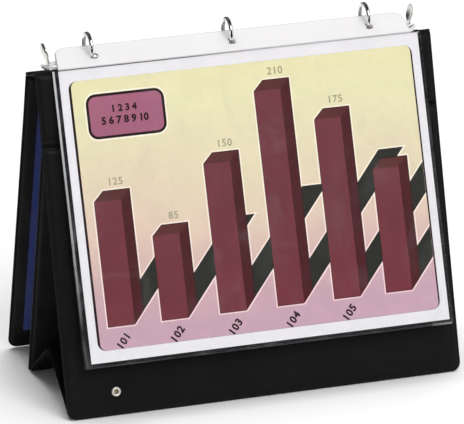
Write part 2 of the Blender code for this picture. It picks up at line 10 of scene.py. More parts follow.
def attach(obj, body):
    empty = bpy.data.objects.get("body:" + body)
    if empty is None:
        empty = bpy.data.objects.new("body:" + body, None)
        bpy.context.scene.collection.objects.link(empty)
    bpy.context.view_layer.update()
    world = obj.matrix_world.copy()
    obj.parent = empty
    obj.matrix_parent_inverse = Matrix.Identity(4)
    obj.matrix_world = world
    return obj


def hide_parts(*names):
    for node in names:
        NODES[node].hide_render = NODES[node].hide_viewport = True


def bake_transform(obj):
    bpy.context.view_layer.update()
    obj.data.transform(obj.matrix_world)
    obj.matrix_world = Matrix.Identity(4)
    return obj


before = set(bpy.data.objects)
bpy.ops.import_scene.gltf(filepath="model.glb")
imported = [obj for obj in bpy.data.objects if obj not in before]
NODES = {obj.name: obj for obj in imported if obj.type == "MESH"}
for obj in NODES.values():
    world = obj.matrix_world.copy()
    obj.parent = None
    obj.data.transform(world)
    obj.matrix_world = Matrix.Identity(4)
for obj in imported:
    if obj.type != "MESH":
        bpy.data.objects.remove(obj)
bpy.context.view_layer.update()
MM = 0.001
SC = bpy.context.scene

# ------------------------------------------------------------------ sizes (mm)
RIDGE_Y, RIDGE_Z = -2.63, 245.905236
PANEL_ANG, SPINE_ANG, COVER_ANG, MID_ANG = -106.46, -18.36, -75.71, -77.08
HX = 153.9
HALF = 1.4
PANEL_H, CREASE, SPINE_W, COVER_L, MID_L = 256.0, 54.0, 25.1, 244.8, 198.39
RING_X, RING_PITCH, RING_R, WIRE = 0.1, 107.95, 9.75, 1.55
RING_S, RING_N = 12.8, 14.9
METAL_X, METAL_HALF, ARCH_A, ARCH_B = 1.2, 143.3, 10.0, 6.6
PIVOT_S, PIVOT_N = 8.4, 2.0
LEVER_X, PIN_X, PIN_N = 141.0, 139.3, 2.6
B1, B2, STRIP_L = (-3.4, 1.65), (-2.05, 1.15), 25.1
PHI1, PHI2 = 19.5, 18.0
LEAN1, LEAN2 = 20.2, 18.3
SHEET_X0, SHEET_W, SHEET_H = -137.1, 279.4, 215.9
FILM_X0, FILM_X1 = -140.6, 144.8
SNAP_X, SNAP_U = -115.8, 238.6
FLAP_F, FLAP_R, FLAP_X = 62.8, 59.2, 152.4


def rot(a, p):
    c, s = cos(radians(a)), sin(radians(a))
    return (p[0] * c - p[1] * s, p[0] * s + p[1] * c)


class Frame:
    """local (x, u, w) in mm about a line along X, to metres in the row frame"""

    def __init__(self, y0, z0, ang):
        self.y0, self.z0 = y0, z0
        self.ang = ang
        self.c, self.s = cos(radians(ang)), sin(radians(ang))

    def __call__(self, x, u, w):
        return Vector((x * MM, (RIDGE_Y + self.y0 + u * self.c - w * self.s) * MM,
                       (RIDGE_Z + self.z0 + u * self.s + w * self.c) * MM))

    def matrix(self):
        """4x4 for objects whose local x, y, z are x, u, w in metres"""
        o = self(0, 0, 0)
        m = Matrix(((1, 0, 0, o.x), (0, self.c, -self.s, o.y), (0, self.s, self.c, o.z), (0, 0, 0, 1)))
        return m


F_PANEL = Frame(0, 0, PANEL_ANG)
F_SPINE = Frame(0, 0, SPINE_ANG)
F_COVER = Frame(*rot(SPINE_ANG, (SPINE_W, 0)), COVER_ANG)
AX_C = rot(PANEL_ANG, (CREASE, 2.9))
F_MID = Frame(*AX_C, MID_ANG)
AX_F = rot(PANEL_ANG, (PANEL_H - 2.2, HALF + 1.4))
_m = rot(MID_ANG, (MID_L - 2.2, -1.1))
AX_M = (AX_C[0] + _m[0], AX_C[1] + _m[1])
_d = (AX_M[0] - AX_F[0], AX_M[1] - AX_F[1])
_D = hypot(*_d)
_a = (FLAP_F ** 2 - FLAP_R ** 2 + _D ** 2) / (2 * _D)
_e = (_d[0] / _D, _d[1] / _D)
_h = sqrt(FLAP_F ** 2 - _a ** 2)
PEAK = (AX_F[0] + _a * _e[0] - _h * _e[1], AX_F[1] + _a * _e[1] + _h * _e[0])
F_FLAPF = Frame(*AX_F, degrees(atan2(PEAK[1] - AX_F[1], PEAK[0] - AX_F[0])) + 2.0)
F_FLAPR = Frame(*AX_M, degrees(atan2(PEAK[1] - AX_M[1], PEAK[0] - AX_M[0])))
CEN = rot(SPINE_ANG, (RING_S, RING_N))
F_STRIP1 = Frame(*B1, PHI1)
F_STRIP2 = Frame(*B2, PHI2)
F_PAGE1 = Frame(*B1, -(90 + LEAN1))
F_PAGE2 = Frame(*B2, -(90 + LEAN2))

# ------------------------------------------------------------------ node helpers


class Mat:
    def __init__(self, name):
        self.m = bpy.data.materials.new(name)
        self.m.use_nodes = True
        self.nt = self.m.node_tree
        self.b = self.nt.nodes["Principled BSDF"]
        self.tc = self.nt.nodes.new("ShaderNodeTexCoord")
        self.last_bump = None

    def put(self, **kw):
        for k, v in kw.items():
            self.b.inputs[k.replace("_", " ")].default_value = v
        return self

    def link(self, a, b):
        self.nt.links.new(a, b)

    def mapping(self, scale=(1, 1, 1), rot_=(0, 0, 0), src="Object"):
        n = self.nt.nodes.new("ShaderNodeMapping")
        n.inputs["Scale"].default_value = scale
        n.inputs["Rotation"].default_value = rot_
        self.link(self.tc.outputs[src], n.inputs["Vector"])
        return n.outputs["Vector"]

    def noise(self, scale, detail=3.0, rough=0.5, vec=None, dist=0.0):
        n = self.nt.nodes.new("ShaderNodeTexNoise")
        n.inputs["Scale"].default_value = scale
        n.inputs["Detail"].default_value = detail
        n.inputs["Roughness"].default_value = rough
        n.inputs["Distortion"].default_value = dist
        self.link(vec if vec is not None else self.tc.outputs["Object"], n.inputs["Vector"])
        return n.outputs["Fac"]

    def voronoi(self, scale, feature='F1', vec=None, randomness=1.0):
        n = self.nt.nodes.new("ShaderNodeTexVoronoi")
        n.feature = feature
        n.inputs["Scale"].default_value = scale
        n.inputs["Randomness"].default_value = randomness
        self.link(vec if vec is not None else self.tc.outputs["Object"], n.inputs["Vector"])
        return n.outputs["Distance"]

    def ramp(self, fac, stops, interp='LINEAR'):
        n = self.nt.nodes.new("ShaderNodeValToRGB")
        n.color_ramp.interpolation = interp
        els = n.color_ramp.elements
        while len(els) < len(stops):
            els.new(0.5)
        for e, (p, c) in zip(els, stops):
            e.position = p
            e.color = (*c, 1.0) if len(c) == 3 else c
        self.link(fac, n.inputs["Fac"])
        return n.outputs["Color"]

    def maprange(self, v, a, b, c, d, clamp=True):
        n = self.nt.nodes.new("ShaderNodeMapRange")
        n.clamp = clamp
        for i, t in zip(("From Min", "From Max", "To Min", "To Max"), (a, b, c, d)):
            n.inputs[i].default_value = t
        self.link(v, n.inputs["Value"])
        return n.outputs["Result"]

    def math(self, op, a, b=None):
        n = self.nt.nodes.new("ShaderNodeMath")
        n.operation = op
        for i, t in enumerate((a, b)):
            if t is None:
                continue
            if isinstance(t, (int, float)):
                n.inputs[i].default_value = t
            else:
                self.link(t, n.inputs[i])
        return n.outputs[0]

    def mix(self, fac, a, b, blend='MIX'):
        n = self.nt.nodes.new("ShaderNodeMix")
        n.data_type = 'RGBA'
        n.blend_type = blend
        for sock, t in ((n.inputs[0], fac), (n.inputs[6], a), (n.inputs[7], b)):
            if isinstance(t, (int, float)):
                sock.default_value = t
            elif isinstance(t, tuple):
                sock.default_value = (*t, 1.0)
            else:
                self.link(t, sock)
        return n.outputs[2]

    def bump(self, height, strength, distance):
        n = self.nt.nodes.new("ShaderNodeBump")
        n.inputs["Strength"].default_value = strength
        n.inputs["Distance"].default_value = distance
        self.link(height, n.inputs["Height"])
        if self.last_bump is not None:
            self.link(self.last_bump, n.inputs["Normal"])
        self.last_bump = n.outputs["Normal"]
        self.link(self.last_bump, self.b.inputs["Normal"])
        return self

    def sep(self, vec=None):
        n = self.nt.nodes.new("ShaderNodeSeparateXYZ")
        self.link(vec if vec is not None else self.tc.outputs["Object"], n.inputs[0])
        return n.outputs

    def to(self, out, sock):
        self.link(out, self.b.inputs[sock])
        return self


def vinyl(name, painted_light_tone=1.0, seed=0.0, gloss=0.0, spec=0.13):
    """calendered black vinyl: fine pebbled grain, soft unevenness over the board, rubbed spots; the tone scales the
    colour per panel as painted light and shade
    """
    m = Mat(name)
    v = m.mapping(scale=(1, 1, 1))
    off = m.nt.nodes.new("ShaderNodeVectorMath")
    off.operation = 'ADD'
    off.inputs[1].default_value = (seed, seed * 0.7, seed * 1.3)
    m.link(v, off.inputs[0])
    vec = off.outputs[0]
    broad = m.noise(14.0, 2.0, 0.5, vec)
    mott = m.noise(160.0, 4.0, 0.62, vec)
    col = m.ramp(mott, [(0.30, (0.0052 * painted_light_tone, 0.0048 * painted_light_tone, 0.0050 * painted_light_tone)),
                        (0.72, (0.0082 * painted_light_tone, 0.0075 * painted_light_tone, 0.0078 * painted_light_tone))])
    wear = m.ramp(m.noise(70.0, 6.0, 0.7, vec, 1.2), [(0.66, (0, 0, 0)), (0.80, (1, 1, 1))])
    col = m.mix(m.math('MULTIPLY', wear, 0.25), col, (0.020 * painted_light_tone, 0.019 * painted_light_tone, 0.019 * painted_light_tone))
    m.to(col, "Base Color")
    m.to(m.maprange(broad, 0.3, 0.7, 0.40 - gloss, 0.54 - gloss), "Roughness")
    m.put(Specular_IOR_Level=spec)
    m.bump(broad, 0.30, 0.0016)
    m.bump(m.voronoi(1500.0, 'F1', vec), 0.16, 0.00008)
    m.bump(m.noise(900.0, 2.0, 0.5, vec), 0.12, 0.00006)
    return m.m


def chrome(name, tint=(0.86, 0.86, 0.87), rough=0.05, metal=1.0):
    """bright nickel-chrome: faint plating waviness, fine wipe marks, duller specks"""
    m = Mat(name)
    m.put(Metallic=metal)
    mott = m.noise(90.0, 4.0, 0.6)
    m.to(m.ramp(mott, [(0.25, tuple(t * 0.93 for t in tint)), (0.8, tint)]), "Base Color")
    speck = m.ramp(m.noise(1400.0, 3.0, 0.6), [(0.62, (0, 0, 0)), (0.78, (1, 1, 1))])
    r = m.maprange(m.noise(260.0, 4.0, 0.6), 0.3, 0.75, rough, rough + 0.09)
    m.to(m.math('ADD', r, m.math('MULTIPLY', speck, 0.10)), "Roughness")
    m.bump(m.noise(120.0, 2.0, 0.4), 0.10, 0.0003)
    m.bump(m.noise(900.0, 3.0, 0.5, m.mapping(scale=(0.15, 1, 1))), 0.06, 0.00004)
    return m.m


def steel(name, tint=(0.50, 0.50, 0.51)):
    m = Mat(name)
    m.put(Metallic=1.0)
    m.to(m.ramp(m.noise(60.0, 5.0, 0.6), [(0.3, tuple(t * 0.85 for t in tint)), (0.75, tint)]), "Base Color")
    m.to(m.maprange(m.noise(700.0, 3.0, 0.6, m.mapping(scale=(0.05, 1, 1))), 0.3, 0.7, 0.26, 0.42), "Roughness")
    m.bump(m.noise(1200.0, 2.0, 0.5, m.mapping(scale=(0.04, 1, 1))), 0.15, 0.00005)
    return m.m


def film(name, haze=0.03, wave=0.5, edge=0.45):
    """clear polypropylene film: glossy, faintly hazy, soft handling waves, rub marks"""
    m = Mat(name)
    m.put(Specular_IOR_Level=0.6, Coat_Weight=0.7, Coat_Roughness=0.03)
    lw = m.nt.nodes.new("ShaderNodeLayerWeight")
    lw.inputs["Blend"].default_value = 0.12
    face = m.maprange(lw.outputs["Facing"], 0.35, 1.0, 0.0, 1.0)
    m.to(m.mix(face, (0.72, 0.74, 0.76), (0.05, 0.055, 0.06)), "Base Color")
    smear = m.noise(30.0, 6.0, 0.65, m.mapping(scale=(1.0, 1.0, 0.45)), 0.6)
    scuff = m.ramp(m.noise(240.0, 5.0, 0.7, m.mapping(scale=(0.35, 1.0, 1.0))), [(0.62, (0, 0, 0)), (0.78, (1, 1, 1))])
    a = m.math('ADD', m.maprange(face, 0.0, 1.0, haze, edge),
               m.maprange(smear, 0.48, 0.80, 0.0, haze * 0.8))
    a = m.math('ADD', a, m.math('MULTIPLY', scuff, haze * 0.6))
    rub = m.ramp(m.noise(26.0, 6.0, 0.72, m.mapping(scale=(1.0, 1.0, 0.6), rot_=(0.0, 0.7, 0.0)), 1.4), [(0.53, (0, 0, 0)), (0.70, (1, 1, 1))])
    a = m.math('ADD', a, m.math('MULTIPLY', rub, haze * 5.0))
    m.to(a, "Alpha")
    m.to(m.maprange(smear, 0.3, 0.8, 0.05, 0.15), "Roughness")
    m.bump(m.noise(16.0, 2.0, 0.45), wave, 0.0012)
    m.bump(m.noise(70.0, 2.0, 0.5, m.mapping(scale=(1.0, 0.5, 0.5))), wave * 0.4, 0.0002)
    return m.m


def white_plastic(name, col=(0.680, 0.662, 0.668)):
    m = Mat(name)
    n1 = m.noise(45.0, 4.0, 0.55)
    m.to(m.ramp(n1, [(0.3, tuple(c * 0.965 for c in col)), (0.75, col)]), "Base Color")
    m.to(m.maprange(m.noise(180.0, 3.0, 0.6), 0.3, 0.7, 0.34, 0.50), "Roughness")
    m.put(Specular_IOR_Level=0.4, Subsurface_Weight=0.10, Subsurface_Scale=0.002)
    m.bump(m.noise(26.0, 2.0, 0.5), 0.18, 0.0006)
    m.bump(m.noise(1300.0, 2.0, 0.5), 0.10, 0.00003)
    return m.m


def board(name):
    m = Mat(name)
    fib = m.noise(900.0, 5.0, 0.7, m.mapping(scale=(0.25, 1, 1)))
    m.to(m.ramp(fib, [(0.3, (0.17, 0.135, 0.095)), (0.75, (0.33, 0.27, 0.20))]), "Base Color")
    m.put(Roughness=0.93, Specular_IOR_Level=0.2)
    m.bump(fib, 0.4, 0.0001)
    return m.m


def ink(name, stops, axis_from, axis_to, grain=0.05, rough=(0.38, 0.52), paper_bump=True):
    """printed ink on coated paper: a vertical blend of colours with fine print grain"""
    m = Mat(name)
    z = m.sep()[2]
    t = m.maprange(z, axis_from, axis_to, 0.0, 1.0)
    drift = m.maprange(m.noise(9.0, 2.0, 0.5), 0.3, 0.7, -0.05, 0.05)
    col = m.ramp(m.math('ADD', t, drift), stops)
    g = m.maprange(m.noise(1500.0, 2.0, 0.6), 0.25, 0.75, 1.0 - grain, 1.0 + grain, False)
    g2 = m.maprange(m.noise(55.0, 4.0, 0.6), 0.25, 0.75, 1.0 - grain * 0.8, 1.0 + grain * 0.8, False)
    n = m.nt.nodes.new("ShaderNodeVectorMath")
    n.operation = 'SCALE'
    m.link(col, n.inputs[0])
    m.link(m.math('MULTIPLY', g, g2), n.inputs["Scale"])
    m.to(n.outputs[0], "Base Color")
    m.to(m.maprange(m.noise(60.0, 3.0, 0.5), 0.3, 0.7, *rough), "Roughness")
    m.put(Specular_IOR_Level=0.09)
    if paper_bump:
        m.bump(m.noise(22.0, 2.0, 0.5), 0.12, 0.0006)
        m.bump(m.noise(1800.0, 3.0, 0.6), 0.12, 0.00003)
    return m.m


# ------------------------------------------------------------------ mesh helpers


def make(name, verts, faces, mats, body, replaces=(), smooth=40, mat_ids=None,
         merge=0.0, blend=None):
    me = bpy.data.meshes.new(name)
    me.from_pydata([tuple(v) for v in verts], [], faces)
    for mt in (mats if isinstance(mats, (list, tuple)) else [mats]):
        me.materials.append(mt)
    if mat_ids is not None:
        me.polygons.foreach_set("material_index", mat_ids)
    bm = bmesh.new()
    bm.from_mesh(me)
    if merge > 0:
        bmesh.ops.remove_doubles(bm, verts=bm.verts, dist=merge)
    bmesh.ops.recalc_face_normals(bm, faces=bm.faces)
    bm.to_mesh(me)
    bm.free()
    me.validate()
    if smooth is not None:
        me.shade_smooth()
        me.set_sharp_from_angle(angle=radians(smooth))
    ob = bpy.data.objects.new(name, me)
    SC.collection.objects.link(ob)
    if blend:
        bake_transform(ob)
    else:
        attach(ob, body)
    if replaces:
        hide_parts(*replaces)
    return ob


def rrect(x0, x1, u0, u1, radii, seg=7, ne=6, inset=0.0):
    """rounded rectangle loop, same point count for every inset"""
    pts = []
    X0, X1, U0, U1 = x0 + inset, x1 - inset, u0 + inset, u1 - inset
    cs = [(X0, U0, 180, radii[0]), (X1, U0, 270, radii[1]), (X1, U1, 0, radii[2]), (X0, U1, 90, radii[3])]
    arcs = []
    for cx, cu, a0, r in cs:
        r = max(r - inset, 0.35)
        ox = cx + (r if cx == X0 else -r)
        ou = cu + (r if cu == U0 else -r)
        arcs.append([(ox + r * cos(radians(a0 + 90 * k / seg)), ou + r * sin(radians(a0 + 90 * k / seg)))
                     for k in range(seg + 1)])
    for i in range(4):
        pts += arcs[i]
        a, b = arcs[i][-1], arcs[(i + 1) % 4][0]
        for k in range(1, ne):
            t = k / ne
            pts.append((a[0] + (b[0] - a[0]) * t, a[1] + (b[1] - a[1]) * t))
    return pts


WELD = [(0.0, 0.16), (0.10, 0.33), (0.35, 0.42), (1.35, 0.42), (1.60, 0.34), (1.95, 0.34), (2.25, 0.52),
        (2.7, 0.86), (3.3, 1.14), (4.2, 1.30), (5.6, 1.37), (8.0, 1.40)]


def pillow(name, fr, x0, x1, u0, u1, radii, mat, body, replaces=(), half=HALF, w0=0.0,
           profile=WELD, warp=None, seg=7, ne=8, hole=None):
    """board in welded vinyl: flat rim, weld groove, then the skin rising over the board edge"""
    verts, faces = [], []
    n = None
    sides = []
    for sgn in (-1, 1):
        rings = []
        for ins, h in profile:
            loop = rrect(x0, x1, u0, u1, radii, seg, ne, ins)
            n = len(loop)
            base = len(verts)
            for x, u in loop:
                w = sgn * h * half / HALF
                uu, ww = (u, w0 + w) if warp is None else warp(u, w0 + w)
                verts.append(fr(x, uu, ww))
            rings.append(list(range(base, base + n)))
        sides.append(rings)
    for rings in sides:
        for a, b in zip(rings, rings[1:]):
            for k in range(n):
                k2 = (k + 1) % n
                faces.append((a[k], a[k2], b[k2], b[k]))
        faces.append(tuple(rings[-1]))
    a, b = sides[0][0], sides[1][0]
    for k in range(n):
        k2 = (k + 1) % n
        faces.append((a[k], b[k], b[k2], a[k2]))
    return make(name, verts, faces, mat, body, replaces, smooth=50)


def bead(name, fr, x0, x1, u, w, r, mat, body, replaces=(), seg=20, nx=40, wob=0.0):
    """round fold of vinyl along X with closed rounded ends"""
    verts, faces = [], []
    prof = [(x0, 0.25 * r), (x0 + 0.15, 0.7 * r), (x0 + 0.5, 0.95 * r)]
    xs = [(x0 + 0.9 + (x1 - x0 - 1.8) * k / nx, r) for k in range(nx + 1)]
    prof = prof + xs + [(x1 - 0.5, 0.95 * r), (x1 - 0.15, 0.7 * r), (x1, 0.25 * r)]
    for x, rr in prof:
        for k in range(seg):
            a = 2 * pi * k / seg
            q = rr * (1 + wob * sin(x * 0.21 + 2 * a) * sin(x * 0.057))
            verts.append(fr(x, u + q * cos(a), w + q * sin(a)))
    m = len(prof)
    for i in range(m - 1):
        for k in range(seg):
            k2 = (k + 1) % seg
            faces.append((i * seg + k, i * seg + k2, (i + 1) * seg + k2, (i + 1) * seg + k))
    faces.append(tuple(range(seg)))
    faces.append(tuple(range((m - 1) * seg, m * seg)))
    return make(name, verts, faces, mat, body, replaces, smooth=50)


def turned(name, fr, cx, cu, profile, mat, body, replaces=(), seg=48, closed=False, smooth=35):
    """lathe about local w at (cx, cu); profile of (r, w)"""
    verts, faces, rings = [], [], []
    for r, w in profile:
        if r < 1e-6:
            rings.append([len(verts)])
            verts.append(fr(cx, cu, w))
        else:
            rings.append(list(range(len(verts), len(verts) + seg)))
            for k in range(seg):
                a = 2 * pi * k / seg
                verts.append(fr(cx + r * cos(a), cu + r * sin(a), w))
    n = len(rings)
    for i in range(n if closed else n - 1):
        a, b = rings[i], rings[(i + 1) % n]
        for k in range(seg):
            k2 = (k + 1) % seg
            if len(a) == 1 and len(b) == 1:
                continue
            if len(a) == 1:
                faces.append((a[0], b[k], b[k2]))
            elif len(b) == 1:
                faces.append((a[k], b[0], a[k2]))
            else:
                faces.append((a[k], b[k], b[k2], a[k2]))
    return make(name, verts, faces, mat, body, replaces, smooth=smooth)


def round_profile(pts, r=0.25, n=4):
    """rounds the corners of an open (r, w) profile"""
    out = [pts[0]]
    for i in range(1, len(pts) - 1):
        p, a, b = Vector(pts[i]), Vector(pts[i - 1]), Vector(pts[i + 1])
        da, db = (a - p), (b - p)
        la, lb = da.length, db.length
        if la < 1e-6 or lb < 1e-6:
            out.append(pts[i])
            continue
        t = min(r, la * 0.45, lb * 0.45)
        q0, q1 = p + da / la * t, p + db / lb * t
        for k in range(n + 1):
            s = k / n
            q = (1 - s) ** 2 * q0 + 2 * s * (1 - s) * p + s * s * q1
            out.append((q.x, q.y))
    out.append(pts[-1])
    return out


def wire(name, fr, x, path, r, mat, body, replaces=(), seg=20, tip=None):
    """round wire in the plane X = x along a (u, w) path, with flat end caps"""
    verts, faces = [], []
    n = len(path)
    rows = 0
    for i, (y, z) in enumerate(path):
        a, b = path[max(i - 1, 0)], path[min(i + 1, n - 1)]
        ty, tz = b[0] - a[0], b[1] - a[1]
        ln = hypot(ty, tz)
        ny, nz = tz / ln, -ty / ln
        rr = r[i] if isinstance(r, (list, tuple)) else r
        for k in range(seg):
            ph = 2 * pi * k / seg
            verts.append(fr(x + rr * cos(ph), y + rr * sin(ph) * ny, z + rr * sin(ph) * nz))
        rows += 1
    for i in range(rows - 1):
        for k in range(seg):
            k2 = (k + 1) % seg
            faces.append((i * seg + k, i * seg + k2, (i + 1) * seg + k2, (i + 1) * seg + k))
    faces.append(tuple(range(seg)))
    faces.append(tuple(range((rows - 1) * seg, rows * seg)))
    return make(name, verts, faces, mat, body, replaces, smooth=40)


# ------------------------------------------------------------------ camera, floor, light
SC.view_settings.view_transform = 'Standard'
SC.view_settings.look = 'None'

PSI, ELEV, RHO = radians(18.75), radians(20.16), radians(-0.11)
FOC, DIST, TX, TY = 5315.71, 3917.55, 2.75, 118.37
fwd = Vector((sin(PSI) * cos(ELEV), cos(PSI) * cos(ELEV), -sin(ELEV)))
rgt0 = Vector((cos(PSI), -sin(PSI), 0))
up0 = rgt0.cross(fwd)
rgt = cos(RHO) * rgt0 + sin(RHO) * up0
up = -sin(RHO) * rgt0 + cos(RHO) * up0
loc = (-DIST * fwd - TX * rgt - TY * up + Vector((0.9, RIDGE_Y, RIDGE_Z))) * MM
cam = bpy.data.cameras.new("camera")
cam.sensor_fit = 'HORIZONTAL'
cam.sensor_width = 36.0
cam.lens = FOC * 36.0 / 464.0
cam.clip_end = 60
cam_ob = bpy.data.objects.new("camera", cam)
SC.collection.objects.link(cam_ob)
cam_ob.matrix_world = Matrix(((rgt.x, up.x, -fwd.x, loc.x), (rgt.y, up.y, -fwd.y, loc.y),
                              (rgt.z, up.z, -fwd.z, loc.z), (0, 0, 0, 1)))
SC.camera = cam_ob

world = bpy.data.worlds.new("studio")
SC.world = world
world.use_nodes = True
bg = world.node_tree.nodes["Background"]
bg.inputs["Color"].default_value = (0.98, 0.99, 1.0, 1.0)
bg.inputs["Strength"].default_value = 0.16


def area(name, at, target, size, power, color=(1, 1, 1), size_y=None):
    d = bpy.data.lights.new(name, 'AREA')
    d.shape = 'RECTANGLE'
    d.size = size
    d.size_y = size_y or size
    d.energy = power
    d.color = color
    o = bpy.data.objects.new(name, d)
    SC.collection.objects.link(o)
    o.location = at
    v = Vector(target) - Vector(at)
    o.rotation_euler = v.to_track_quat('-Z', 'Y').to_euler()
    return o


area("front_softbox", (0.22, -1.55, 1.85), (0, 0, 0.1), 1.3, 35.0, (1.0, 0.995, 0.98))
top_ = area("overhead_softbox", (0.15, 0.75, 2.1), (0.1, 0.6, 0), 2.1, 46, (1.0, 1.0, 1.0))
top_.visible_glossy = False
area("side_strip", (-1.35, -0.62, 0.34), (0, -0.05, 0.17), 0.16, 1.6, (1.0, 1.0, 1.0), 0.6)

floor_me = bpy.data.meshes.new("floor")
N = 24
fv = [((i / N - 0.5) * 16.0, (j / N - 0.5) * 16.0 + 1.5, -0.0002) for j in range(N + 1) for i in range(N + 1)]
ff = [(j * (N + 1) + i, j * (N + 1) + i + 1, (j + 1) * (N + 1) + i + 1, (j + 1) * (N + 1) + i)
      for j in range(N) for i in range(N)]
floor_me.from_pydata(fv, [], ff)
fm = Mat("floor_paper")
fm.to(fm.ramp(fm.noise(3.0, 3.0, 0.5), [(0.2, (0.895, 0.895, 0.90)), (0.8, (0.92, 0.92, 0.92))]), "Base Color")
fm.put(Roughness=0.85, Specular_IOR_Level=0.1)
floor_me.materials.append(fm.m)
floor = bpy.data.objects.new("floor", floor_me)
SC.collection.objects.link(floor)

# dark flags round the set: only mirror reflections see them, they give the plating its contrast
flag_me = bpy.data.meshes.new("dark_flags")
A_, B_, C_, H_ = 0.42, 2.6, 0.36, 1.15
fv = [(-B_, -B_, 0.0004), (B_, -B_, 0.0004), (B_, B_, 0.0004), (-B_, B_, 0.0004),
      (-A_, -C_, 0.0004), (A_, -C_, 0.0004), (A_, C_, 0.0004), (-A_, C_, 0.0004)]
ff = [(0, 1, 5, 4), (3, 0, 4, 7)]
RN = 48
for k in range(RN):
    a = 2 * pi * k / RN
    fv += [(B_ * cos(a), B_ * sin(a), 0.001), (B_ * cos(a), B_ * sin(a), H_)]
for k in range(7, 40):
    ff.append((8 + 2 * k, 10 + 2 * k, 11 + 2 * k, 9 + 2 * k))
flag_me.from_pydata(fv, [], ff)
gm = Mat("flag_cloth")
gm.to(gm.ramp(gm.noise(40.0, 3.0, 0.5), [(0.3, (0.008, 0.008, 0.008)), (0.8, (0.014, 0.014, 0.014))]), "Base Color")
gm.put(Roughness=0.95, Specular_IOR_Level=0.0)
flag_me.materials.append(gm.m)
flag = bpy.data.objects.new("dark_flags", flag_me)
SC.collection.objects.link(flag)
flag.visible_camera = False
flag.visible_diffuse = False
flag.visible_shadow = False
flag.visible_transmission = False

zen_me = bpy.data.meshes.new("overhead_flag")
zen_me.from_pydata([(0.5 * cos(radians(15 * k)), 0.12 + 0.5 * sin(radians(15 * k)), 1.1) for k in range(24)], [],
                   [tuple(range(24))])
zen_me.materials.append(flag_me.materials[0])
zen = bpy.data.objects.new("overhead_flag", zen_me)
SC.collection.objects.link(zen)
zen.visible_camera = False
zen.visible_diffuse = False
zen.visible_shadow = False
zen.visible_transmission = False

# self-lit card, no lamp, seen only in mirror reflections: it puts a glowing bright reflection on the plating's right
# sides
card_me = bpy.data.meshes.new("white_card")
fv, ff = [], []
for k in range(17):
    a = radians(-58 + 104 * k / 16)
    fv += [(2.5 * cos(a), 2.5 * sin(a), 0.002), (2.5 * cos(a), 2.5 * sin(a), 1.3)]
for k in range(16):
    ff.append((2 * k, 2 * k + 2, 2 * k + 3, 2 * k + 1))
card_me.from_pydata(fv, [], ff)
cm = Mat("card_paper")
cm.put(Base_Color=(0.0, 0.0, 0.0, 1.0), Specular_IOR_Level=0.0, Emission_Strength=0.95)
cm.to(cm.ramp(cm.noise(3.0, 2.0, 0.5), [(0.3, (0.90, 0.90, 0.91)), (0.8, (1.0, 1.0, 1.0))]), "Emission Color")
card_me.materials.append(cm.m)
card = bpy.data.objects.new("white_card", card_me)
SC.collection.objects.link(card)
card.visible_camera = False
card.visible_diffuse = False
card.visible_shadow = False
card.visible_transmission = False

# ------------------------------------------------------------------ vinyl panels
# one black vinyl in lit and shaded copies: the tone lightens the rear cover and easel leg and darkens the crease web
# and gusset, painted light and shade
V_PANEL = vinyl("vinyl_front_panel", 0.88, 0.0, 0.0, 0.115)
V_SPINE = vinyl("vinyl_spine", 0.85, 3.1, 0.0, 0.08)
V_CREASE = vinyl("vinyl_crease", 0.55, 4.4, 0.0, 0.04)
V_COVER = vinyl("vinyl_rear_cover", 1.9, 5.7, 0.0, 0.09)
V_MID = vinyl("vinyl_easel_leg", 2.9, 8.3, 0.0, 0.08)
V_GUSSET = vinyl("vinyl_gusset", 0.62, 11.9, 0.0, 0.04)


def near(u, u0, length, w, w_to):
    """bends the rim of a panel towards its hinge line"""
    t = max(0.0, min(1.0, 1.0 - abs(u - u0) / length))
    t = t * t * (3 - 2 * t)
    return w + t * w_to


pillow("front_panel_upper", F_PANEL, -HX, HX, 0.7, CREASE - 1.5, (1.2, 1.2, 0.6, 0.6), V_PANEL,
       "front_panel", ("front_panel_inner_vinyl", "front_panel_board_upper"))
pillow("front_panel_lower", F_PANEL, -HX, HX, CREASE + 1.4, PANEL_H, (0.6, 0.6, 6.8, 6.8), V_PANEL,
       "front_panel", ("front_panel_outer_vinyl", "front_panel_board_lower"), seg=10)
bead("ridge_fold", F_PANEL, -HX + 0.3, HX - 0.3, 0, 0, 1.2, V_PANEL, "front_panel", ("ridge_hinge_vinyl",))
# the crease web takes the darkest copy: painted shade in the crease
pillow("crease_web", F_PANEL, -HX, HX, CREASE - 1.7, CREASE + 1.6, (0.4, 0.4, 0.4, 0.4), V_CREASE, "front_panel",
       (), profile=[(0.0, 0.05), (0.15, 0.16), (0.5, 0.22), (1.4, 0.22)])
bead("crease_fold", F_PANEL, -FLAP_X, FLAP_X, CREASE, 2.9 - 0.35, 1.25, V_PANEL, "front_panel",
     ("easel_hinge_vinyl",), wob=0.04)
bead("front_gusset_fold", F_PANEL, -FLAP_X + 8, FLAP_X - 8, PANEL_H - 2.2, HALF + 1.1, 1.3, V_PANEL,
     "front_panel", ("front_flap_hinge_vinyl",), wob=0.04)

pillow("spine_panel", F_SPINE, -HX, HX, 0.8, SPINE_W - 0.8, (1.0, 1.0, 1.0, 1.0), V_SPINE, "spine",
       ("spine_inner_vinyl", "spine_outer_vinyl", "spine_board"), w0=-HALF,
       warp=lambda u, w: (u, w + 1.1 * max(max(0.0, 1 - u / 3.2), max(0.0, 1 - (SPINE_W - u) / 3.2)) ** 1.0))
bead("cover_fold", F_SPINE, -HX + 0.3, HX - 0.3, SPINE_W, 0, 1.2, V_SPINE, "spine", ("cover_hinge_vinyl",))

pillow("rear_cover_panel", F_COVER, -HX, HX, 0.9, COVER_L, (1.0, 1.0, 8.0, 8.0), V_COVER, "rear_cover",
       ("rear_cover_inner_vinyl", "rear_cover_outer_vinyl", "rear_cover_board"), w0=-0.3 - HALF,
       warp=lambda u, w: (u, w + 1.35 * max(0.0, 1 - u / 4.2)), seg=10)

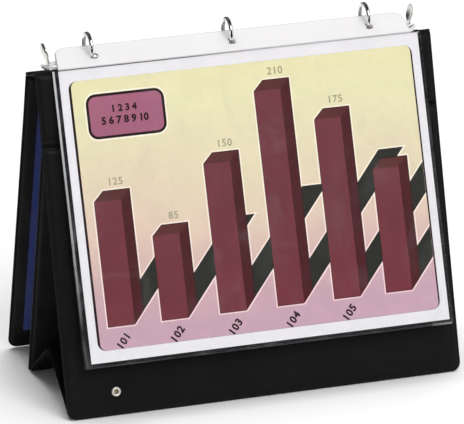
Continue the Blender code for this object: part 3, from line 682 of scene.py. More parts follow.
pillow("easel_leg_panel", F_MID, -HX + 1.4, HX - 1.4, 1.6, MID_L, (1.0, 1.0, 1.5, 1.5), V_MID, "easel_leg",
       ("easel_leg_front_vinyl", "easel_leg_rear_vinyl", "easel_leg_board"), w0=0.3 + HALF,
       warp=lambda u, w: (u, w - 1.3 * max(0.0, 1 - u / 4.2)))
bead("rear_gusset_fold", F_MID, -FLAP_X + 1, FLAP_X - 1, MID_L - 2.2, -0.85, 1.3, V_MID, "easel_leg",
     ("rear_flap_hinge_vinyl",), wob=0.04)

THIN = [(0.0, 0.14), (0.10, 0.28), (0.3, 0.38), (1.2, 0.40), (1.5, 0.34), (1.9, 0.36), (2.4, 0.6), (3.2, 0.74),
        (4.4, 0.80), (7.0, 0.80)]
pillow("gusset_front_panel", F_FLAPF, -FLAP_X, FLAP_X, 0.9, FLAP_F - 1.2, (2.0, 2.0, 2.5, 2.5), V_GUSSET,
       "front_flap", ("gusset_front_flap",), half=HALF, profile=THIN)
bead("gusset_peak_fold", F_FLAPF, -FLAP_X + 0.6, FLAP_X - 0.6, FLAP_F - 1.1, 0.0, 0.85, V_GUSSET, "front_flap",
     ("gusset_peak_vinyl",), wob=0.05)
pillow("gusset_rear_panel", F_FLAPR, -FLAP_X, FLAP_X, 0.9, FLAP_R - 3.5, (2.0, 2.0, 2.5, 2.5), V_GUSSET,
       "rear_flap", ("gusset_rear_flap",), half=HALF, profile=THIN)

# ------------------------------------------------------------------ rear cover: overlay pocket and insert
OUT = -0.3 - 2 * HALF
blue = Mat("insert_blue_print")
g = blue.noise(1500.0, 2.0, 0.6)
bd = blue.noise(12.0, 3.0, 0.5)
blue.to(blue.ramp(bd, [(0.3, (0.040, 0.060, 0.232)), (0.7, (0.057, 0.080, 0.300))]), "Base Color")
blue.to(blue.maprange(g, 0.3, 0.7, 0.42, 0.58), "Roughness")
blue.put(Specular_IOR_Level=0.3)
blue.bump(bd, 0.15, 0.0008)
OVER = film("overlay_film", 0.004, 0.30, 0.03)


def sheet_panel(name, fr, x0, x1, u0, u1, w0, w1, mat, body, replaces, r=0.8, nx=24, nu=20, bow=None,
                smooth=40, edge=None):
    """thin sheet with gentle handling waves; bow(x, u) shifts the middle surface"""
    verts, faces = [], []
    xs = np.linspace(x0, x1, nx + 1)
    us = np.linspace(u0, u1, nu + 1)
    for w in (w0, w1):
        for u in us:
            for x in xs:
                b = bow(x, u) if bow else 0.0
                verts.append(fr(x, u, w + b))
    A = (nx + 1) * (nu + 1)
    idx = lambda s, j, i: s * A + j * (nx + 1) + i
    for j in range(nu):
        for i in range(nx):
            faces.append((idx(0, j, i), idx(0, j, i + 1), idx(0, j + 1, i + 1), idx(0, j + 1, i)))
            faces.append((idx(1, j, i), idx(1, j + 1, i), idx(1, j + 1, i + 1), idx(1, j, i + 1)))
    for i in range(nx):
        faces.append((idx(0, 0, i), idx(1, 0, i), idx(1, 0, i + 1), idx(0, 0, i + 1)))
        faces.append((idx(0, nu, i), idx(0, nu, i + 1), idx(1, nu, i + 1), idx(1, nu, i)))
    for j in range(nu):
        faces.append((idx(0, j, 0), idx(0, j + 1, 0), idx(1, j + 1, 0), idx(1, j, 0)))
        faces.append((idx(0, j, nx), idx(1, j, nx), idx(1, j + 1, nx), idx(0, j + 1, nx)))
    sides = [1] * (len(faces) - 2 * nx * nu)
    return make(name, verts, faces, [mat, edge or mat], body, replaces, smooth=smooth,
                mat_ids=[0] * (2 * nx * nu) + sides)


sheet_panel("cover_insert_card", F_COVER, -HX + 10.7, HX - 10.7, 13.0, COVER_L - 15.5, OUT - 0.5, OUT - 0.3,
            blue.m, "rear_cover", ("cover_insert_sheet",))
sheet_panel("cover_overlay", F_COVER, -HX + 3.0, HX - 3.0, 4.3, COVER_L - 12.5, OUT - 0.95, OUT - 0.8, OVER,
            "rear_cover", ("cover_pocket_film",), nx=40, nu=30)

# ------------------------------------------------------------------ snap fastener
CH_SNAP = chrome("snap_chrome", (0.94, 0.92, 0.87), 0.42)
BRASS = chrome("eyelet_brass", (0.42, 0.32, 0.20), 0.30)
turned("snap_socket_ring", F_PANEL, SNAP_X, SNAP_U,
       round_profile([(1.75, -1.5), (3.55, -1.5), (3.6, -2.0), (3.35, -2.75), (2.75, -3.15), (2.15, -3.0), (1.8, -2.5),
                      (1.75, -1.5)], 0.3), CH_SNAP, "front_panel", ("snap_socket",))
turned("snap_eyelet_turned", F_PANEL, SNAP_X, SNAP_U,
       round_profile([(0, 1.8), (3.4, 1.8), (3.8, 1.65), (3.8, 1.55), (1.3, 1.55), (1.3, -1.45), (0.95, -1.75),
                      (0.45, -1.6), (0, -1.6)], 0.15), BRASS, "front_panel", ("snap_eyelet",))
turned("cover_stud", F_COVER, SNAP_X, SNAP_U,
       round_profile([(0, 2.2), (1.2, 2.1), (1.65, 1.6), (1.45, 1.1), (1.7, 0.8), (3.6, 0.6), (3.8, 0.3), (3.8, 0.0), (1.5, 0.0),
                      (1.5, OUT - 0.3), (0, OUT - 0.3)], 0.2),
       CH_SNAP, "rear_cover", ("cover_snap_stud",))
turned("cover_cap", F_COVER, SNAP_X, SNAP_U,
       round_profile([(0, OUT - 1.5), (2.4, OUT - 1.4), (3.6, OUT - 1.0), (3.8, OUT - 0.3), (1.8, OUT - 0.3),
                      (1.8, OUT - 0.6), (0, OUT - 0.6)], 0.2),
       CH_SNAP, "rear_cover", ("cover_snap_cap",))

# ------------------------------------------------------------------ ring metal
CH = chrome("ring_chrome")
PLATE_M = Mat("plate_nickel")
PLATE_M.put(Metallic=0.4)
PLATE_M.to(PLATE_M.ramp(PLATE_M.noise(60.0, 3.0, 0.5), [(0.25, (0.90, 0.90, 0.91)), (0.8, (0.95, 0.95, 0.96))]), "Base Color")
PLATE_M.to(PLATE_M.maprange(PLATE_M.noise(140.0, 3.0, 0.5, PLATE_M.mapping(scale=(0.1, 1, 1))), 0.3, 0.7, 0.20, 0.30), "Roughness")
PLATE_M.bump(PLATE_M.noise(60.0, 2.0, 0.4), 0.06, 0.0002)
CH_PLATE = PLATE_M.m
CH_LEVER = chrome("lever_chrome", (0.80, 0.78, 0.74), 0.24)
STEEL = steel("blade_steel")

for n_ in ("blade_front", "blade_rear"):
    NODES[n_].data.materials.clear()
    NODES[n_].data.materials.append(STEEL)
for n_ in ("lever_pin_left", "lever_pin_right"):
    NODES[n_].data.materials.clear()
    NODES[n_].data.materials.append(CH_PLATE)


def jaw_path(side):
    """half ring in spine coordinates; side -1 front, +1 rear"""
    pts = []
    a0, a1 = 90.0 - side * 1.2, 90.0 - side * 138.0
    for k in range(45):
        a = radians(a0 + (a1 - a0) * k / 44)
        pts.append((RING_R * cos(a), RING_R * sin(a)))
    end = Vector(pts[-1])
    a = radians(a1)
    tv = Vector((sin(a), -cos(a))) * side
    foot = Vector((side * 5.4, -(RING_N - PIVOT_N - 0.5 - 0.3)))
    p1, p2 = end + tv * 1.7, foot + Vector((0, 1.8))
    for k in range(1, 9):
        t = k / 8
        q = ((1 - t) ** 3 * end + 3 * (1 - t) ** 2 * t * p1 + 3 * (1 - t) * t * t * p2 + t ** 3 * foot)
        pts.append((q.x, q.y))
    return [(y + RING_S, z + RING_N) for y, z in pts]


for side, tag in ((-1, "front"), (1, "rear")):
    path = jaw_path(side)
    rad = [WIRE] * len(path)
    if side == -1:
        rad[0], rad[1], rad[2] = 1.15, 1.45, 1.53
    else:
        rad[0], rad[1], rad[2] = 1.37, 1.51, 1.55
    for pos, k in (("left", -1), ("middle", 0), ("right", 1)):
        wire("wire_%s_%s" % (pos, tag), F_SPINE, RING_X + k * RING_PITCH, path, rad, CH, "jaw_" + tag,
             ("ring_%s_%s_half" % (pos, tag),))

# arched cover plate: ring slots, lever slots, ends closed into a raised prow
NOSE = 12.0
METAL_TIP = 146.2
xs = set()
for k in range(-27, 28):
    xs.add(round(METAL_X + k * 5.0, 3))
slots = []
for k in (-1, 0, 1):
    c = RING_X + k * RING_PITCH
    slots.append((c - 2.0, c + 2.0))
    xs.update((round(c - 2.0, 3), round(c + 2.0, 3), round(c - 3.4, 3), round(c + 3.4, 3)))
lev = []
for k in (-1, 1):
    a, b = sorted((METAL_X + k * 139.9, METAL_X + k * 142.4))
    lev.append((a, b))
    xs.update((round(a, 3), round(b, 3)))
for t in (0.0, 0.06, 0.12, 0.19, 0.25, 0.33, 0.4, 0.48, 0.55, 0.63, 0.7, 0.76, 0.82, 0.88, 0.94, 0.98, 1.0):
    for k in (-1, 1):
        xs.add(round(METAL_X + k * (METAL_TIP - 12.0 + 12.0 * t), 3))
xs = sorted(xs)
xs = [x for i, x in enumerate(xs) if i == 0 or x - xs[i - 1] > 0.05]
NA = 48


def arch_point(x, k, inner):
    """cross-section of the cover plate; the ends close into a raised prow"""
    d = min(1.0, max(0.0, abs(x - METAL_X) - (METAL_TIP - NOSE)) / NOSE)
    f = max(0.0, 1 - d ** 1.9) ** 0.78
    th = 0.8 if inner else 0.0
    A = max(10.0 * f, 1.0) - th * (0.35 + 0.65 * f)
    n0 = 0.35 + 3.6 * d ** 2.4
    top_ = 6.95 - 1.35 * d ** 2.0 - th * (0.5 + 0.5 * f)
    a = pi * k / NA
    return RING_S + A * cos(a), n0 + max(top_ - n0, 0.3) * sin(a) ** 0.9


verts, faces = [], []
grid = {}
for inner in (False, True):
    for i, x in enumerate(xs):
        for k in range(NA + 1):
            s_, n_ = arch_point(x, k, inner)
            grid[(inner, i, k)] = len(verts)
            verts.append(F_SPINE(x, s_, n_))


def is_hole(i, k):
    xm = (xs[i] + xs[i + 1]) / 2
    s_ = arch_point(xm, k + 0.5, False)[0] - RING_S
    for a, b in slots:
        if a < xm < b and 3.3 < abs(s_) < 8.4:
            return True
    if abs(xm - METAL_X) > 139.9 and abs(s_) < 4.9:
        nm = (arch_point(xs[i], k, False)[1] + arch_point(xs[i + 1], k + 1, False)[1]) / 2
        return nm > arch_point(xm, 0, False)[1] + 2.6
    t = METAL_TIP - abs(xm - METAL_X)
    if 3.0 < t < 15.0 and abs(180.0 * (k + 0.5) / NA - 90.0) > 34.0:
        nm = (arch_point(xs[i], k, False)[1] + arch_point(xs[i + 1], k + 1, False)[1]) / 2
        return abs(nm - (4.45 - (t - 3.0) * 0.11)) < 0.36 + (t - 3.0) * 0.07
    return False


solid = sorted((i, k) for i in range(len(xs) - 1) for k in range(NA) if not is_hole(i, k))
solid_set = set(solid)
for (i, k) in solid:
    for inner in (False, True):
        q = [grid[(inner, i, k)], grid[(inner, i + 1, k)], grid[(inner, i + 1, k + 1)], grid[(inner, i, k + 1)]]
        faces.append(tuple(q if not inner else reversed(q)))
    for (di, dk, e0, e1) in ((-1, 0, (i, k), (i, k + 1)), (1, 0, (i + 1, k), (i + 1, k + 1)),
                             (0, -1, (i, k), (i + 1, k)), (0, 1, (i, k + 1), (i + 1, k + 1))):
        if (i + di, k + dk) not in solid_set:
            faces.append((grid[(False, *e0)], grid[(False, *e1)], grid[(True, *e1)], grid[(True, *e0)]))
me_verts = verts
ob_arch = make("ring_plate", verts, faces, CH_PLATE, "spine", ("ring_metal_cover",), smooth=40)
for tag, k in (("left", -1), ("right", 1)):
    turned("rivet_%s_turned" % tag, F_SPINE, METAL_X + k * 129.5, RING_S,
           round_profile([(0, 8.6), (1.6, 8.4), (2.7, 7.8), (3.1, 6.9), (1.5, 6.7), (1.5, -3.1), (3.6, -3.1),
                          (3.6, -3.5), (3.0, -3.9), (0, -3.9)], 0.3), CH_PLATE, "spine", ("rivet_" + tag,))

# levers: leaf-shaped pressed tabs
def catmull(pts, n):
    out = []
    P = [pts[0]] + list(pts) + [pts[-1]]
    for i in range(1, len(P) - 2):
        for k in range(n):
            t = k / n
            a, b, c, d = (np.array(P[i + j - 1], float) for j in range(4))
            out.append(0.5 * ((2 * b) + (-a + c) * t + (2 * a - 5 * b + 4 * c - d) * t * t + (-a + 3 * b - 3 * c + d) * t ** 3))
    out.append(np.array(pts[-1], float))
    return out


off = LEVER_X - PIN_X
spec = [(off, -1.0, 4.0), (off, 2.0, 3.8), (off, 4.6, 3.7), (off + 0.4, 6.6, 4.5), (off + 1.3, 8.8, 6.2),
        (off + 2.2, 11.2, 7.1), (off + 2.8, 13.4, 6.9), (off + 3.1, 15.4, 5.8), (off + 3.15, 17.0, 4.1),
        (off + 3.05, 17.9, 2.6), (off + 2.95, 18.2, 0.9)]
curve = catmull(spec, 8)
for tag, k in (("left", -1), ("right", 1)):
    verts, faces = [], []
    cols = 24
    T = 1.0
    rowsA, rowsB = [], []
    for sgn, rows in ((-0.5, rowsA), (0.5, rowsB)):
        for i, (ox, h, hw) in enumerate(curve):
            pa, pb = curve[max(i - 1, 0)], curve[min(i + 1, len(curve) - 1)]
            dx, dh = pb[0] - pa[0], pb[1] - pa[1]
            ln = hypot(dx, dh) or 1.0
            nx, nh = dh / ln, -dx / ln
            row = []
            for c in range(cols + 1):
                t = -1 + 2 * c / cols
                e = max(0.0, 1 - abs(t) ** 5)
                th = sgn * T * (0.35 + 0.65 * e)
                dish = 0.9 * (t * t) * min(1.0, max(0.0, (h - 4) / 6))
                row.append(len(verts))
                verts.append(F_SPINE(METAL_X + k * (PIN_X + ox + nx * th - dish), RING_S + t * hw, PIN_N + h + nh * th))
            rows.append(row)
    nr = len(curve)
    for i in range(nr - 1):
        for c in range(cols):
            faces.append((rowsA[i][c], rowsA[i][c + 1], rowsA[i + 1][c + 1], rowsA[i + 1][c]))
            faces.append((rowsB[i][c], rowsB[i + 1][c], rowsB[i + 1][c + 1], rowsB[i][c + 1]))
        faces.append((rowsA[i][0], rowsA[i + 1][0], rowsB[i + 1][0], rowsB[i][0]))
        faces.append((rowsA[i][cols], rowsB[i][cols], rowsB[i + 1][cols], rowsA[i + 1][cols]))
    for c in range(cols):
        faces.append((rowsA[0][c], rowsB[0][c], rowsB[0][c + 1], rowsA[0][c + 1]))
        faces.append((rowsA[-1][c], rowsA[-1][c + 1], rowsB[-1][c + 1], rowsB[-1][c]))
    make("lever_%s_pressed" % tag, verts, faces, CH_LEVER, "lever_" + tag, ("lever_" + tag,), smooth=60)

# ------------------------------------------------------------------ binding strips
STRIP = white_plastic("binding_strip_plastic")
# the rear strip is a darker copy of the same strip plastic: painted shade
STRIP_B = white_plastic("binding_strip_plastic_rear", (0.54, 0.53, 0.53))
# darker copy of the strip plastic for the rims and hole walls: painted shade on the strip's edges
STRIP_RIM_SHADE = white_plastic("binding_strip_cut_edge", (0.46, 0.45, 0.46))


def strip(name, b, fr, mat, body, replaces):
    """punched strip with rounded outer corners, softly rounded edges and hole rims"""
    b = np.array(b)
    phi = fr.ang
    d = np.array([cos(radians(phi)), sin(radians(phi))])
    rel = np.array(CEN) - b
    perp = float(rel @ np.array([-d[1], d[0]]))
    lh = float(rel @ d) - sqrt(RING_R ** 2 - perp ** 2)
    x0, x1 = -137.1, 137.6
    loops = []
    outer = rrect(x0, x1, 0.3, STRIP_L, (0.4, 0.4, 7.0, 7.0), 10, 16, 0.0)
    holes = []
    for k in (-1, 0, 1):
        cx = RING_X + k * RING_PITCH
        pts = []
        for q in range(40):
            a = 2 * pi * q / 40
            wide = 1.0 if name == "front_strip" else 1.04
            px, pu = 2.7 * wide * cos(a), 2.3 * wide * sin(a)
            pts.append((cx + px, lh - 0.7 + pu + (0.8 if pu > 0 else -0.8)))
        holes.append(pts)
    skew = lambda x, u: x + (4.4 * u / STRIP_L if x < -60 else (3.2 * exp(-u / 1.5) - 0.5 * u / STRIP_L if x > 118 else 0.0))

    def inset(loop, dist, sign):
        n = len(loop)
        out = []
        for i in range(n):
            p, q, r_ = Vector(loop[i - 1]), Vector(loop[i]), Vector(loop[(i + 1) % n])
            t = (r_ - p)
            if t.length < 1e-9:
                out.append(tuple(q))
                continue
            t.normalize()
            nrm = Vector((-t.y, t.x)) * sign
            out.append((q.x + nrm.x * dist, q.y + nrm.y * dist))
        return out
    verts, faces, rim = [], [], []
    top = {}
    T = 0.2
    for li, loop in enumerate([outer] + holes):
        sign = 1
        last = 0.62 if li == 0 else 0.30
        levels = [(0.0, 0.0), (0.05, 0.6), (0.16, 0.92), (last, 1.0)]
        ringset = []
        for sg in (1, -1):
            rr = []
            for ins, f in (levels if sg == 1 else levels[1:]):
                lp = inset(loop, ins * (1 if li == 0 else -1), sign)
                base = len(verts)
                for x, u in lp:
                    verts.append(fr(skew(x, u), u, sg * T * f))
                rr.append(list(range(base, base + len(lp))))
            ringset.append(rr)
        up_, dn = ringset
        dn = [up_[0]] + dn
        n = len(loop)
        for rr in (up_, dn):
            for a, b_ in zip(rr, rr[1:]):
                for k in range(n):
                    k2 = (k + 1) % n
                    faces.append((a[k], a[k2], b_[k2], b_[k]))
                    # rim faces take the darker plastic: painted shade on the edges and hole walls
                    rim.append(1 if li or loop[k][1] > 1.5 else 0)
        top[li] = (up_[-1], dn[-1], inset(loop, last * (1 if li == 0 else -1), sign))
    # flat faces between the outer loop and the holes
    n_flat = len(faces)
    tri = geometry.tessellate_polygon([[Vector((x, u, 0.0)) for x, u in top[li][2]] for li in top])
    for side in (0, 1):
        ids = []
        for li in top:
            ids += top[li][side]
        for t in tri:
            faces.append(tuple(ids[i] for i in t))
    return make(name, verts, faces, [mat, STRIP_RIM_SHADE], body, replaces, smooth=40,
                mat_ids=rim + [0] * (len(faces) - n_flat))


strip("front_strip", B1, F_STRIP1, STRIP, "strip_front", ("binding_strip_front",))
# the strip's hinge fold in a darker copy of the strip plastic: painted shade at the hinge
HINGE = white_plastic("binding_strip_hinge", (0.55, 0.54, 0.545))
bead("front_strip_hinge", F_STRIP1, -137.0, 137.6, 0.0, 0.0, 0.55, HINGE, "strip_front", (),
     seg=14, nx=60)
strip("rear_strip", B2, F_STRIP2, STRIP_B, "page_rear", ("binding_strip_rear",))

# ------------------------------------------------------------------ printed sheet
ZT = F_PAGE1(0, 1.0, 0).z
ZB = F_PAGE1(0, 1.0 + SHEET_H, 0).z
PAPER = Mat("sheet_paper")
PAPER.to(PAPER.ramp(PAPER.noise(40.0, 4.0, 0.6), [(0.3, (0.755, 0.742, 0.775)), (0.75, (0.805, 0.79, 0.825))]), "Base Color")
PAPER.to(PAPER.maprange(PAPER.noise(60.0, 3.0, 0.5), 0.3, 0.7, 0.5, 0.65), "Roughness")
PAPER.put(Specular_IOR_Level=0.1)
PAPER.bump(PAPER.noise(22.0, 2.0, 0.5), 0.12, 0.0006)
PAPER.bump(PAPER.noise(1800.0, 3.0, 0.6), 0.15, 0.00004)

I_LINE = ink("ink_outline", [(0.0, (0.016, 0.004, 0.005)), (1.0, (0.020, 0.005, 0.009))], ZT, ZB, 0.15)
I_BACK = ink("ink_background", [(0.00, (0.775, 0.725, 0.43)), (0.18, (0.765, 0.72, 0.46)), (0.40, (0.735, 0.64, 0.46)),
                                (0.58, (0.715, 0.55, 0.45)), (0.74, (0.60, 0.40, 0.42)), (0.88, (0.55, 0.355, 0.43)),
                                (1.00, (0.555, 0.355, 0.455))], ZT, ZB, 0.05)
I_HALO = ink("ink_halo", [(0.0, (0.90, 0.85, 0.66)), (0.4, (0.92, 0.84, 0.70)), (0.75, (0.90, 0.72, 0.70)), (1.0, (0.80, 0.56, 0.62))], ZT, ZB, 0.04)
I_FRONT = ink("ink_bar_front", [(0.0, (0.150, 0.037, 0.048)), (0.5, (0.150, 0.034, 0.046)), (1.0, (0.165, 0.028, 0.040))], ZT, ZB, 0.12)
I_SIDE = ink("ink_bar_side", [(0.0, (0.070, 0.012, 0.014)), (0.6, (0.065, 0.010, 0.013)), (1.0, (0.072, 0.008, 0.012))], ZT, ZB, 0.14)
I_TOP = ink("ink_bar_top", [(0.0, (0.094, 0.024, 0.024)), (1.0, (0.088, 0.022, 0.020))], ZT, ZB, 0.16)
I_SHADE = ink("ink_shadow", [(0.0, (0.024, 0.024, 0.018)), (1.0, (0.018, 0.020, 0.016))], ZT, ZB, 0.12)
I_TITLE = ink("ink_title_box", [(0.0, (0.36, 0.120, 0.190)), (0.35, (0.335, 0.112, 0.182)), (1.0, (0.33, 0.11, 0.18))], ZT, ZB, 0.09)
I_GREY = ink("ink_grey", [(0.0, (0.36, 0.34, 0.20)), (1.0, (0.36, 0.32, 0.24))], ZT, ZB, 0.05)
CHART_MATS = [PAPER.m, I_LINE, I_BACK, I_HALO, I_FRONT, I_SIDE, I_TOP, I_SHADE, I_TITLE, I_GREY]
P_, L_, BK_, HL_, FR_, SD_, TP_, SH_, TI_, GR_ = range(10)

layers = []     # (polygon, material index), later ones on top


def rr_poly(x0, x1, q0, q1, r, seg=8):
    return rrect(x0, x1, q0, q1, (r, r, r, r), seg, 1, 0.0)


def clip_rect(poly, x0, x1, q0, q1):
    def clip(pts, inside, cross):
        out = []
        for i in range(len(pts)):
            a, b = pts[i - 1], pts[i]
            if inside(b):
                if not inside(a):
                    out.append(cross(a, b))
                out.append(b)
            elif inside(a):
                out.append(cross(a, b))
        return out

    def at_x(v):
        return lambda a, b: (v, a[1] + (b[1] - a[1]) * (v - a[0]) / (b[0] - a[0]))

    def at_q(v):
        return lambda a, b: (a[0] + (b[0] - a[0]) * (v - a[1]) / (b[1] - a[1]), v)
    poly = clip(poly, lambda p: p[0] >= x0, at_x(x0))
    poly = clip(poly, lambda p: p[0] <= x1, at_x(x1)) if poly else poly
    poly = clip(poly, lambda p: p[1] >= q0, at_q(q0)) if poly else poly
    poly = clip(poly, lambda p: p[1] <= q1, at_q(q1)) if poly else poly
    return poly


def grow(poly, d):
    """convex polygon offset outwards by d"""
    n = len(poly)
    area2 = sum(poly[i - 1][0] * poly[i][1] - poly[i][0] * poly[i - 1][1] for i in range(n))
    sg = 1 if area2 > 0 else -1
    lines = []
    for i in range(n):
        a, b = Vector(poly[i]), Vector(poly[(i + 1) % n])
        t = (b - a).normalized()
        nrm = Vector((t.y, -t.x)) * sg
        lines.append((a + nrm * d, t))
    out = []
    for i in range(n):
        (p, t), (q, s_) = lines[i - 1], lines[i]
        den = t.x * s_.y - t.y * s_.x
        k = ((q.x - p.x) * s_.y - (q.y - p.y) * s_.x) / den
        out.append((p.x + t.x * k, p.y + t.y * k))
    return out


BX0, BX1, BQ0, BQ1 = 8.2, 272.1, 8.6, 206.2
layers.append((rr_poly(BX0 - 1.95, BX1 + 1.25, BQ0 - 0.05, BQ1 + 0.15, 6.2), L_))
layers.append((rr_poly(BX0, BX1, BQ0, BQ1, 4.8), BK_))
BASE, BW, DX, DQ, DB = 189.7, 20.6, 7.6, -7.6, -8.95
bars = [(15.7, 97.8, 134.5), (57.1, 127.4, 119.7), (102.1, 79.0, 103.6), (147.1, 30.2, 83.2), (191.3, 56.0, 62.0),
        (232.2, 97.5, 70.0)]
SLOPE = 1.177
shades = []
for a, top_, end_ in bars:
    k = (BASE - end_) / SLOPE
    # sheared shadow on the ground behind the bar
    shades.append([(a + 1.0, BASE), (a + BW, BASE), (a + BW + k, end_), (a + 1.0 + k, end_)])
for poly in shades:
    c = clip_rect(grow(poly, 1.05), BX0 + 0.1, BX1 - 0.1, BQ0 + 1, BQ1 - 1)
    if len(c) > 2:
        layers.append((c, HL_))
for poly in shades:
    c = clip_rect(poly, BX0 + 0.1, BX1 - 0.1, BQ0 + 1, BQ1 - 1)
    if len(c) > 2:
        layers.append((c, SH_))
for a, top_, end_ in bars:
    hull = [(a, BASE), (a, top_), (a + DX, top_ + DQ), (a + BW + DX, top_ + DQ), (a + BW + DX, BASE + DB), (a + BW, BASE)]
    layers.append((clip_rect(grow(hull, 1.15), BX0, BX1, BQ0, BASE + 0.5), HL_))
for poly in shades:
    # the shadow runs on over the halo at the bar's right
    c = clip_rect([(p[0] + 0.0, p[1]) for p in poly], BX0 + 0.1, BX1 - 0.1, BQ0 + 1, BQ1 - 1)
    if len(c) > 2:
        layers.append((c, SH_))
for a, top_, end_ in bars:
    hull = [(a, BASE), (a, top_), (a + DX, top_ + DQ), (a + BW + DX, top_ + DQ), (a + BW + DX, BASE + DB), (a + BW, BASE)]
    layers.append((grow(hull, 0.12), L_))
    layers.append(([(a + BW, BASE - 0.2), (a + BW, top_), (a + BW + DX - 0.35, top_ + DQ + 0.35),
                    (a + BW + DX - 0.35, BASE + DB)], SD_))
    layers.append(([(a + 0.3, top_), (a + DX, top_ + DQ + 0.45), (a + BW + DX - 0.35, top_ + DQ + 0.45), (a + BW, top_)], TP_))
    layers.append(([(a + 0.25, BASE - 0.3), (a + 0.25, top_), (a + BW, top_), (a + BW, BASE - 0.3)], FR_))
layers.append((rr_poly(16.8, 79.0, 18.1, 53.8, 8.6), HL_))
layers.append((rr_poly(17.9, 77.9, 19.4, 52.5, 7.4), L_))
layers.append((rr_poly(19.9, 75.9, 21.4, 50.5, 5.4), TI_))


def digits(text, x, q, size, angle, mat_id, fat=0.0, gap=1.0):
    """plain numerals laid flat on the sheet"""
    cu = bpy.data.curves.new("numeral", 'FONT')
    cu.body = text
    cu.size = size
    cu.resolution_u = 3
    cu.align_x = 'CENTER'
    cu.fill_mode = 'FRONT'
    cu.offset = fat
    cu.space_character = gap
    ob = bpy.data.objects.new("numeral", cu)
    SC.collection.objects.link(ob)
    bpy.context.view_layer.update()
    me = bpy.data.meshes.new_from_object(ob)
    c, s_ = cos(radians(angle)), sin(radians(angle))
    for p in me.polygons:
        pts = []
        for vi in p.vertices:
            co = me.vertices[vi].co
            pts.append((x + co.x * c - co.y * s_, q - (co.x * s_ + co.y * c)))
        layers.append((pts, mat_id))
    bpy.data.objects.remove(ob, do_unlink=True)
    bpy.data.meshes.remove(me)
    bpy.data.curves.remove(cu)


for i, (a, top_, end_) in enumerate(bars):
    if i < 5:
        digits(str(101 + i), a + 12.6, BASE + 12.8, 8.0, 49.0, L_, 0.32, 1.12)
        digits(str(int(round((BASE - top_ - DQ) / 4.0) * 5)), a + 17.8, top_ + DQ - 3.6, 7.6, 0.0, GR_, 0.16, 1.1)
digits("1 2 3 4", 46.5, 33.4, 7.0, 0.0, L_, 0.28, 1.0)
digits("5 6 7 8 9 10", 46.5, 42.0, 7.4, 0.0, L_, 0.30, 1.0)


def inside(poly, x, y):
    hit = False
    x0, y0 = poly[-1]
    for x1, y1 in poly:
        if (y1 > y) != (y0 > y) and x < (x0 - x1) * (y - y1) / (y0 - y1) + x1:
            hit = not hit
        x0, y0 = x1, y1
    return hit


def paint(layers_):
    """flat partition of the sheet: every region takes the topmost layer's ink"""
    verts, edges = [], []
    sheet = [(0.0, 0.0), (SHEET_W, 0.0), (SHEET_W, SHEET_H), (0.0, SHEET_H)]
    for poly, _ in [(sheet, P_)] + layers_:
        base = len(verts)
        n = len(poly)
        verts += [Vector(p) for p in poly]
        edges += [(base + i, base + (i + 1) % n) for i in range(n)]
    # a coarse grid so that the sheet can bow
    gx, gq = 14, 11
    for i in range(1, gx):
        x = SHEET_W * i / gx
        verts += [Vector((x, 0.0)), Vector((x, SHEET_H))]
        edges.append((len(verts) - 2, len(verts) - 1))
    for j in range(1, gq):
        q = SHEET_H * j / gq
        verts += [Vector((0.0, q)), Vector((SHEET_W, q))]
        edges.append((len(verts) - 2, len(verts) - 1))
    res = geometry.delaunay_2d_cdt(verts, edges, [], 0, 1e-4, False)
    ov, of = res[0], res[2]
    boxed = []
    for poly, m_ in reversed(layers_):
        xs_, ys_ = [p[0] for p in poly], [p[1] for p in poly]
        boxed.append((min(xs_), max(xs_), min(ys_), max(ys_), poly, m_))
    ids = []
    for f in of:
        cx = sum(ov[i].x for i in f) / len(f)
        cy = sum(ov[i].y for i in f) / len(f)
        got = P_
        for a, b, c, d, poly, m_ in boxed:
            if a <= cx <= b and c <= cy <= d and inside(poly, cx, cy):
                got = m_
                break
        ids.append(got)
    return ov, of, ids


pv, pf, pid = paint(layers)


def bow1(x, u):
    """the sheet and its sleeve hang a little uneven"""
    t = (u - 1.0) / SHEET_H
    return 0.22 * sin((x + 40) / 52.0) * t * t


def printed(name, fr, pv, pf, pid, mats, body, replaces, half=0.1):
    verts, faces, ids = [], [], []
    n = len(pv)
    for w in (-half, half):
        for p in pv:
            q = p.y if p.y < 207.0 else 207.0 + (p.y - 207.0) * (VIS_H - 207.0) / (SHEET_H - 207.0)
            verts.append(fr(SHEET_X0 + p.x, 1.0 + q, w + bow1(SHEET_X0 + p.x, 1.0 + q)))
    edge_count = {}
    for f, m_ in zip(pf, pid):
        faces.append(tuple(f))
        ids.append(m_)
        for a, b in zip(f, f[1:] + f[:1]):
            key = (min(a, b), max(a, b))
            edge_count.setdefault(key, []).append((a, b))
    for f in pf:
        faces.append(tuple(n + i for i in reversed(f)))
        ids.append(P_)
    for key, es in edge_count.items():
        if len(es) == 1:
            a, b = es[0]
            faces.append((b, a, n + a, n + b))
            ids.append(P_)
    return make(name, verts, faces, mats, body, replaces, smooth=None, mat_ids=ids)


VIS_H = 214.9
printed("chart_sheet", F_PAGE1, pv, pf, pid, CHART_MATS, "page_front", ("page_sheet_front",))
sheet_panel("rear_sheet_card", F_PAGE2, SHEET_X0 + 4.0, SHEET_X0 + SHEET_W - 0.5, 1.2, SHEET_H - 2.0, -0.1, 0.1, PAPER.m,
            "page_rear", ("page_sheet_rear",), nx=24, nu=18)

# ------------------------------------------------------------------ clear sleeves
FILM1 = film("sleeve_film", 0.005, 0.30, 0.12)
FILM_E = Mat("sleeve_film_edge")
FILM_E.put(Base_Color=(0.2, 0.2, 0.21, 1.0), Specular_IOR_Level=0.3)
FILM_E.to(FILM_E.maprange(FILM_E.noise(200.0, 3.0, 0.6), 0.3, 0.7, 0.01, 0.06), "Alpha")
FILM_E.to(FILM_E.maprange(FILM_E.noise(300.0, 3.0, 0.6), 0.3, 0.7, 0.25, 0.45), "Roughness")


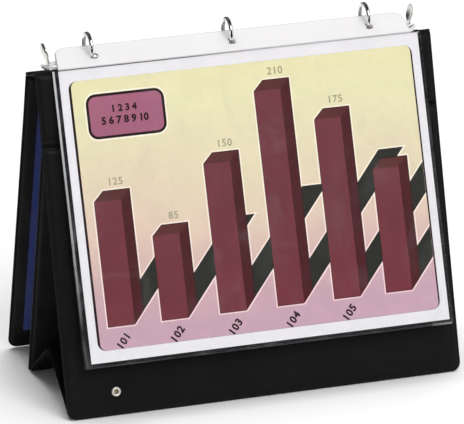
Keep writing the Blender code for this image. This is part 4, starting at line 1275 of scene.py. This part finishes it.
def weld_film(name, lo, hi, x_from=None, x_to=None, edge=0.0, painted_highlight_top=0.0):
    """pressed weld of the sleeve: fine embossed ribs, milky where it cooled unevenly; the ramps along x and up the
    sheet add painted highlight
    """
    m = Mat(name)
    m.put(Base_Color=(0.62, 0.64, 0.66, 1.0), Specular_IOR_Level=0.7, Coat_Weight=0.8, Coat_Roughness=0.06)
    a = m.maprange(m.noise(80.0, 4.0, 0.6), 0.35, 0.75, lo, hi)
    if x_from is not None:
        # painted highlight: the weld grows milkier along x up to x_to
        x = m.sep()[0]
        a = m.math('ADD', a, m.maprange(x, x_from * MM, x_to * MM, 0.0, edge))
    # painted highlight: the weld grows milkier towards the top of the sheet
    if painted_highlight_top:
        z = m.sep()[2]
        a = m.math('ADD', a, m.maprange(z, 0.07, 0.232, 0.0, painted_highlight_top))
    m.to(a, "Alpha")
    m.to(m.maprange(m.noise(300.0, 3.0, 0.6), 0.3, 0.7, 0.12, 0.28), "Roughness")
    m.bump(m.voronoi(900.0), 0.3, 0.00008)
    return m.m


# the left weld is a painted highlight line, white at the top and fading down; the foot weld has a painted highlight at
# its right end
WELD_L = weld_film("sleeve_weld_left", 0.01, 0.09, None, None, 0.0, 0.80)
WELD_R = weld_film("sleeve_weld_right", 0.0, 0.03)
WELD_F = weld_film("sleeve_weld_foot", 0.01, 0.04, 126.0, 141.0, 0.22)


# painted shadow in the seam between the strip's hinge and the sheet: dark at one end, light at the other
SEAM_SHADOW = Mat("sleeve_seam")
SEAM_SHADOW.to(SEAM_SHADOW.ramp(SEAM_SHADOW.maprange(SEAM_SHADOW.sep()[0], -0.137, 0.141, 0.0, 1.0),
                  [(0.0, (0.012, 0.012, 0.014)), (0.12, (0.06, 0.06, 0.07)), (0.36, (0.13, 0.125, 0.14)),
                   (0.46, (0.42, 0.41, 0.44)), (0.6, (0.60, 0.58, 0.62)), (1.0, (0.52, 0.50, 0.53))]), "Base Color")
SEAM_SHADOW.to(SEAM_SHADOW.maprange(SEAM_SHADOW.noise(160.0, 3.0, 0.5), 0.3, 0.7, 0.5, 0.7), "Roughness")
SEAM_SHADOW.put(Specular_IOR_Level=0.2)


def sleeve(tag, fr, body, replaces, bow):
    u0, u1 = 0.8, SHEET_H + 3.4
    fx0 = FILM_X0 - 0.8 if tag == "front" else FILM_X0 + 0.6
    if tag == "front":
        # a thin dark sheet that carries the painted shadow of the seam
        sheet_panel("sleeve_front_seam", fr, fx0 + 2.0, FILM_X1 - 1.2, 0.60, 0.97, -0.42, 0.42, SEAM_SHADOW.m, body, (),
                    nx=48, nu=1, bow=bow)
    sheet_panel("sleeve_%s_face" % tag, fr, fx0, FILM_X1, u0, u1, -0.55, -0.43, FILM1, body, replaces,
                nx=48, nu=36, bow=bow, edge=FILM_E.m)
    sheet_panel("sleeve_%s_back" % tag, fr, fx0, FILM_X1, u0, u1, 0.43, 0.55, FILM1, body, (), nx=48, nu=36,
                bow=bow, edge=FILM_E.m)
    for nm, (x0, x1, a, b, mt) in {"left": (fx0 - 0.2, fx0 + (1.35 if tag == "front" else 0.7), u0, u1 + 0.1, WELD_L),
                                   "right": (FILM_X1 - 0.9, FILM_X1 + 0.2, u0, u1 + 0.1, WELD_R),
                                   "foot": (fx0 + 1.8, FILM_X1 - 1.0, u1 - 1.2, u1 + 0.1, WELD_F)}.items():
        sheet_panel("sleeve_%s_weld_%s" % (tag, nm), fr, x0, x1, a, b, -0.42, 0.42, mt, body, (),
                    nx=(4 if nm != "foot" else 48), nu=(36 if nm != "foot" else 3), bow=bow)


sleeve("front", F_PAGE1, "page_front", ("protector_sleeve_front",), bow1)
sleeve("rear", F_PAGE2, "page_rear", ("protector_sleeve_rear",), lambda x, u: 0.0)
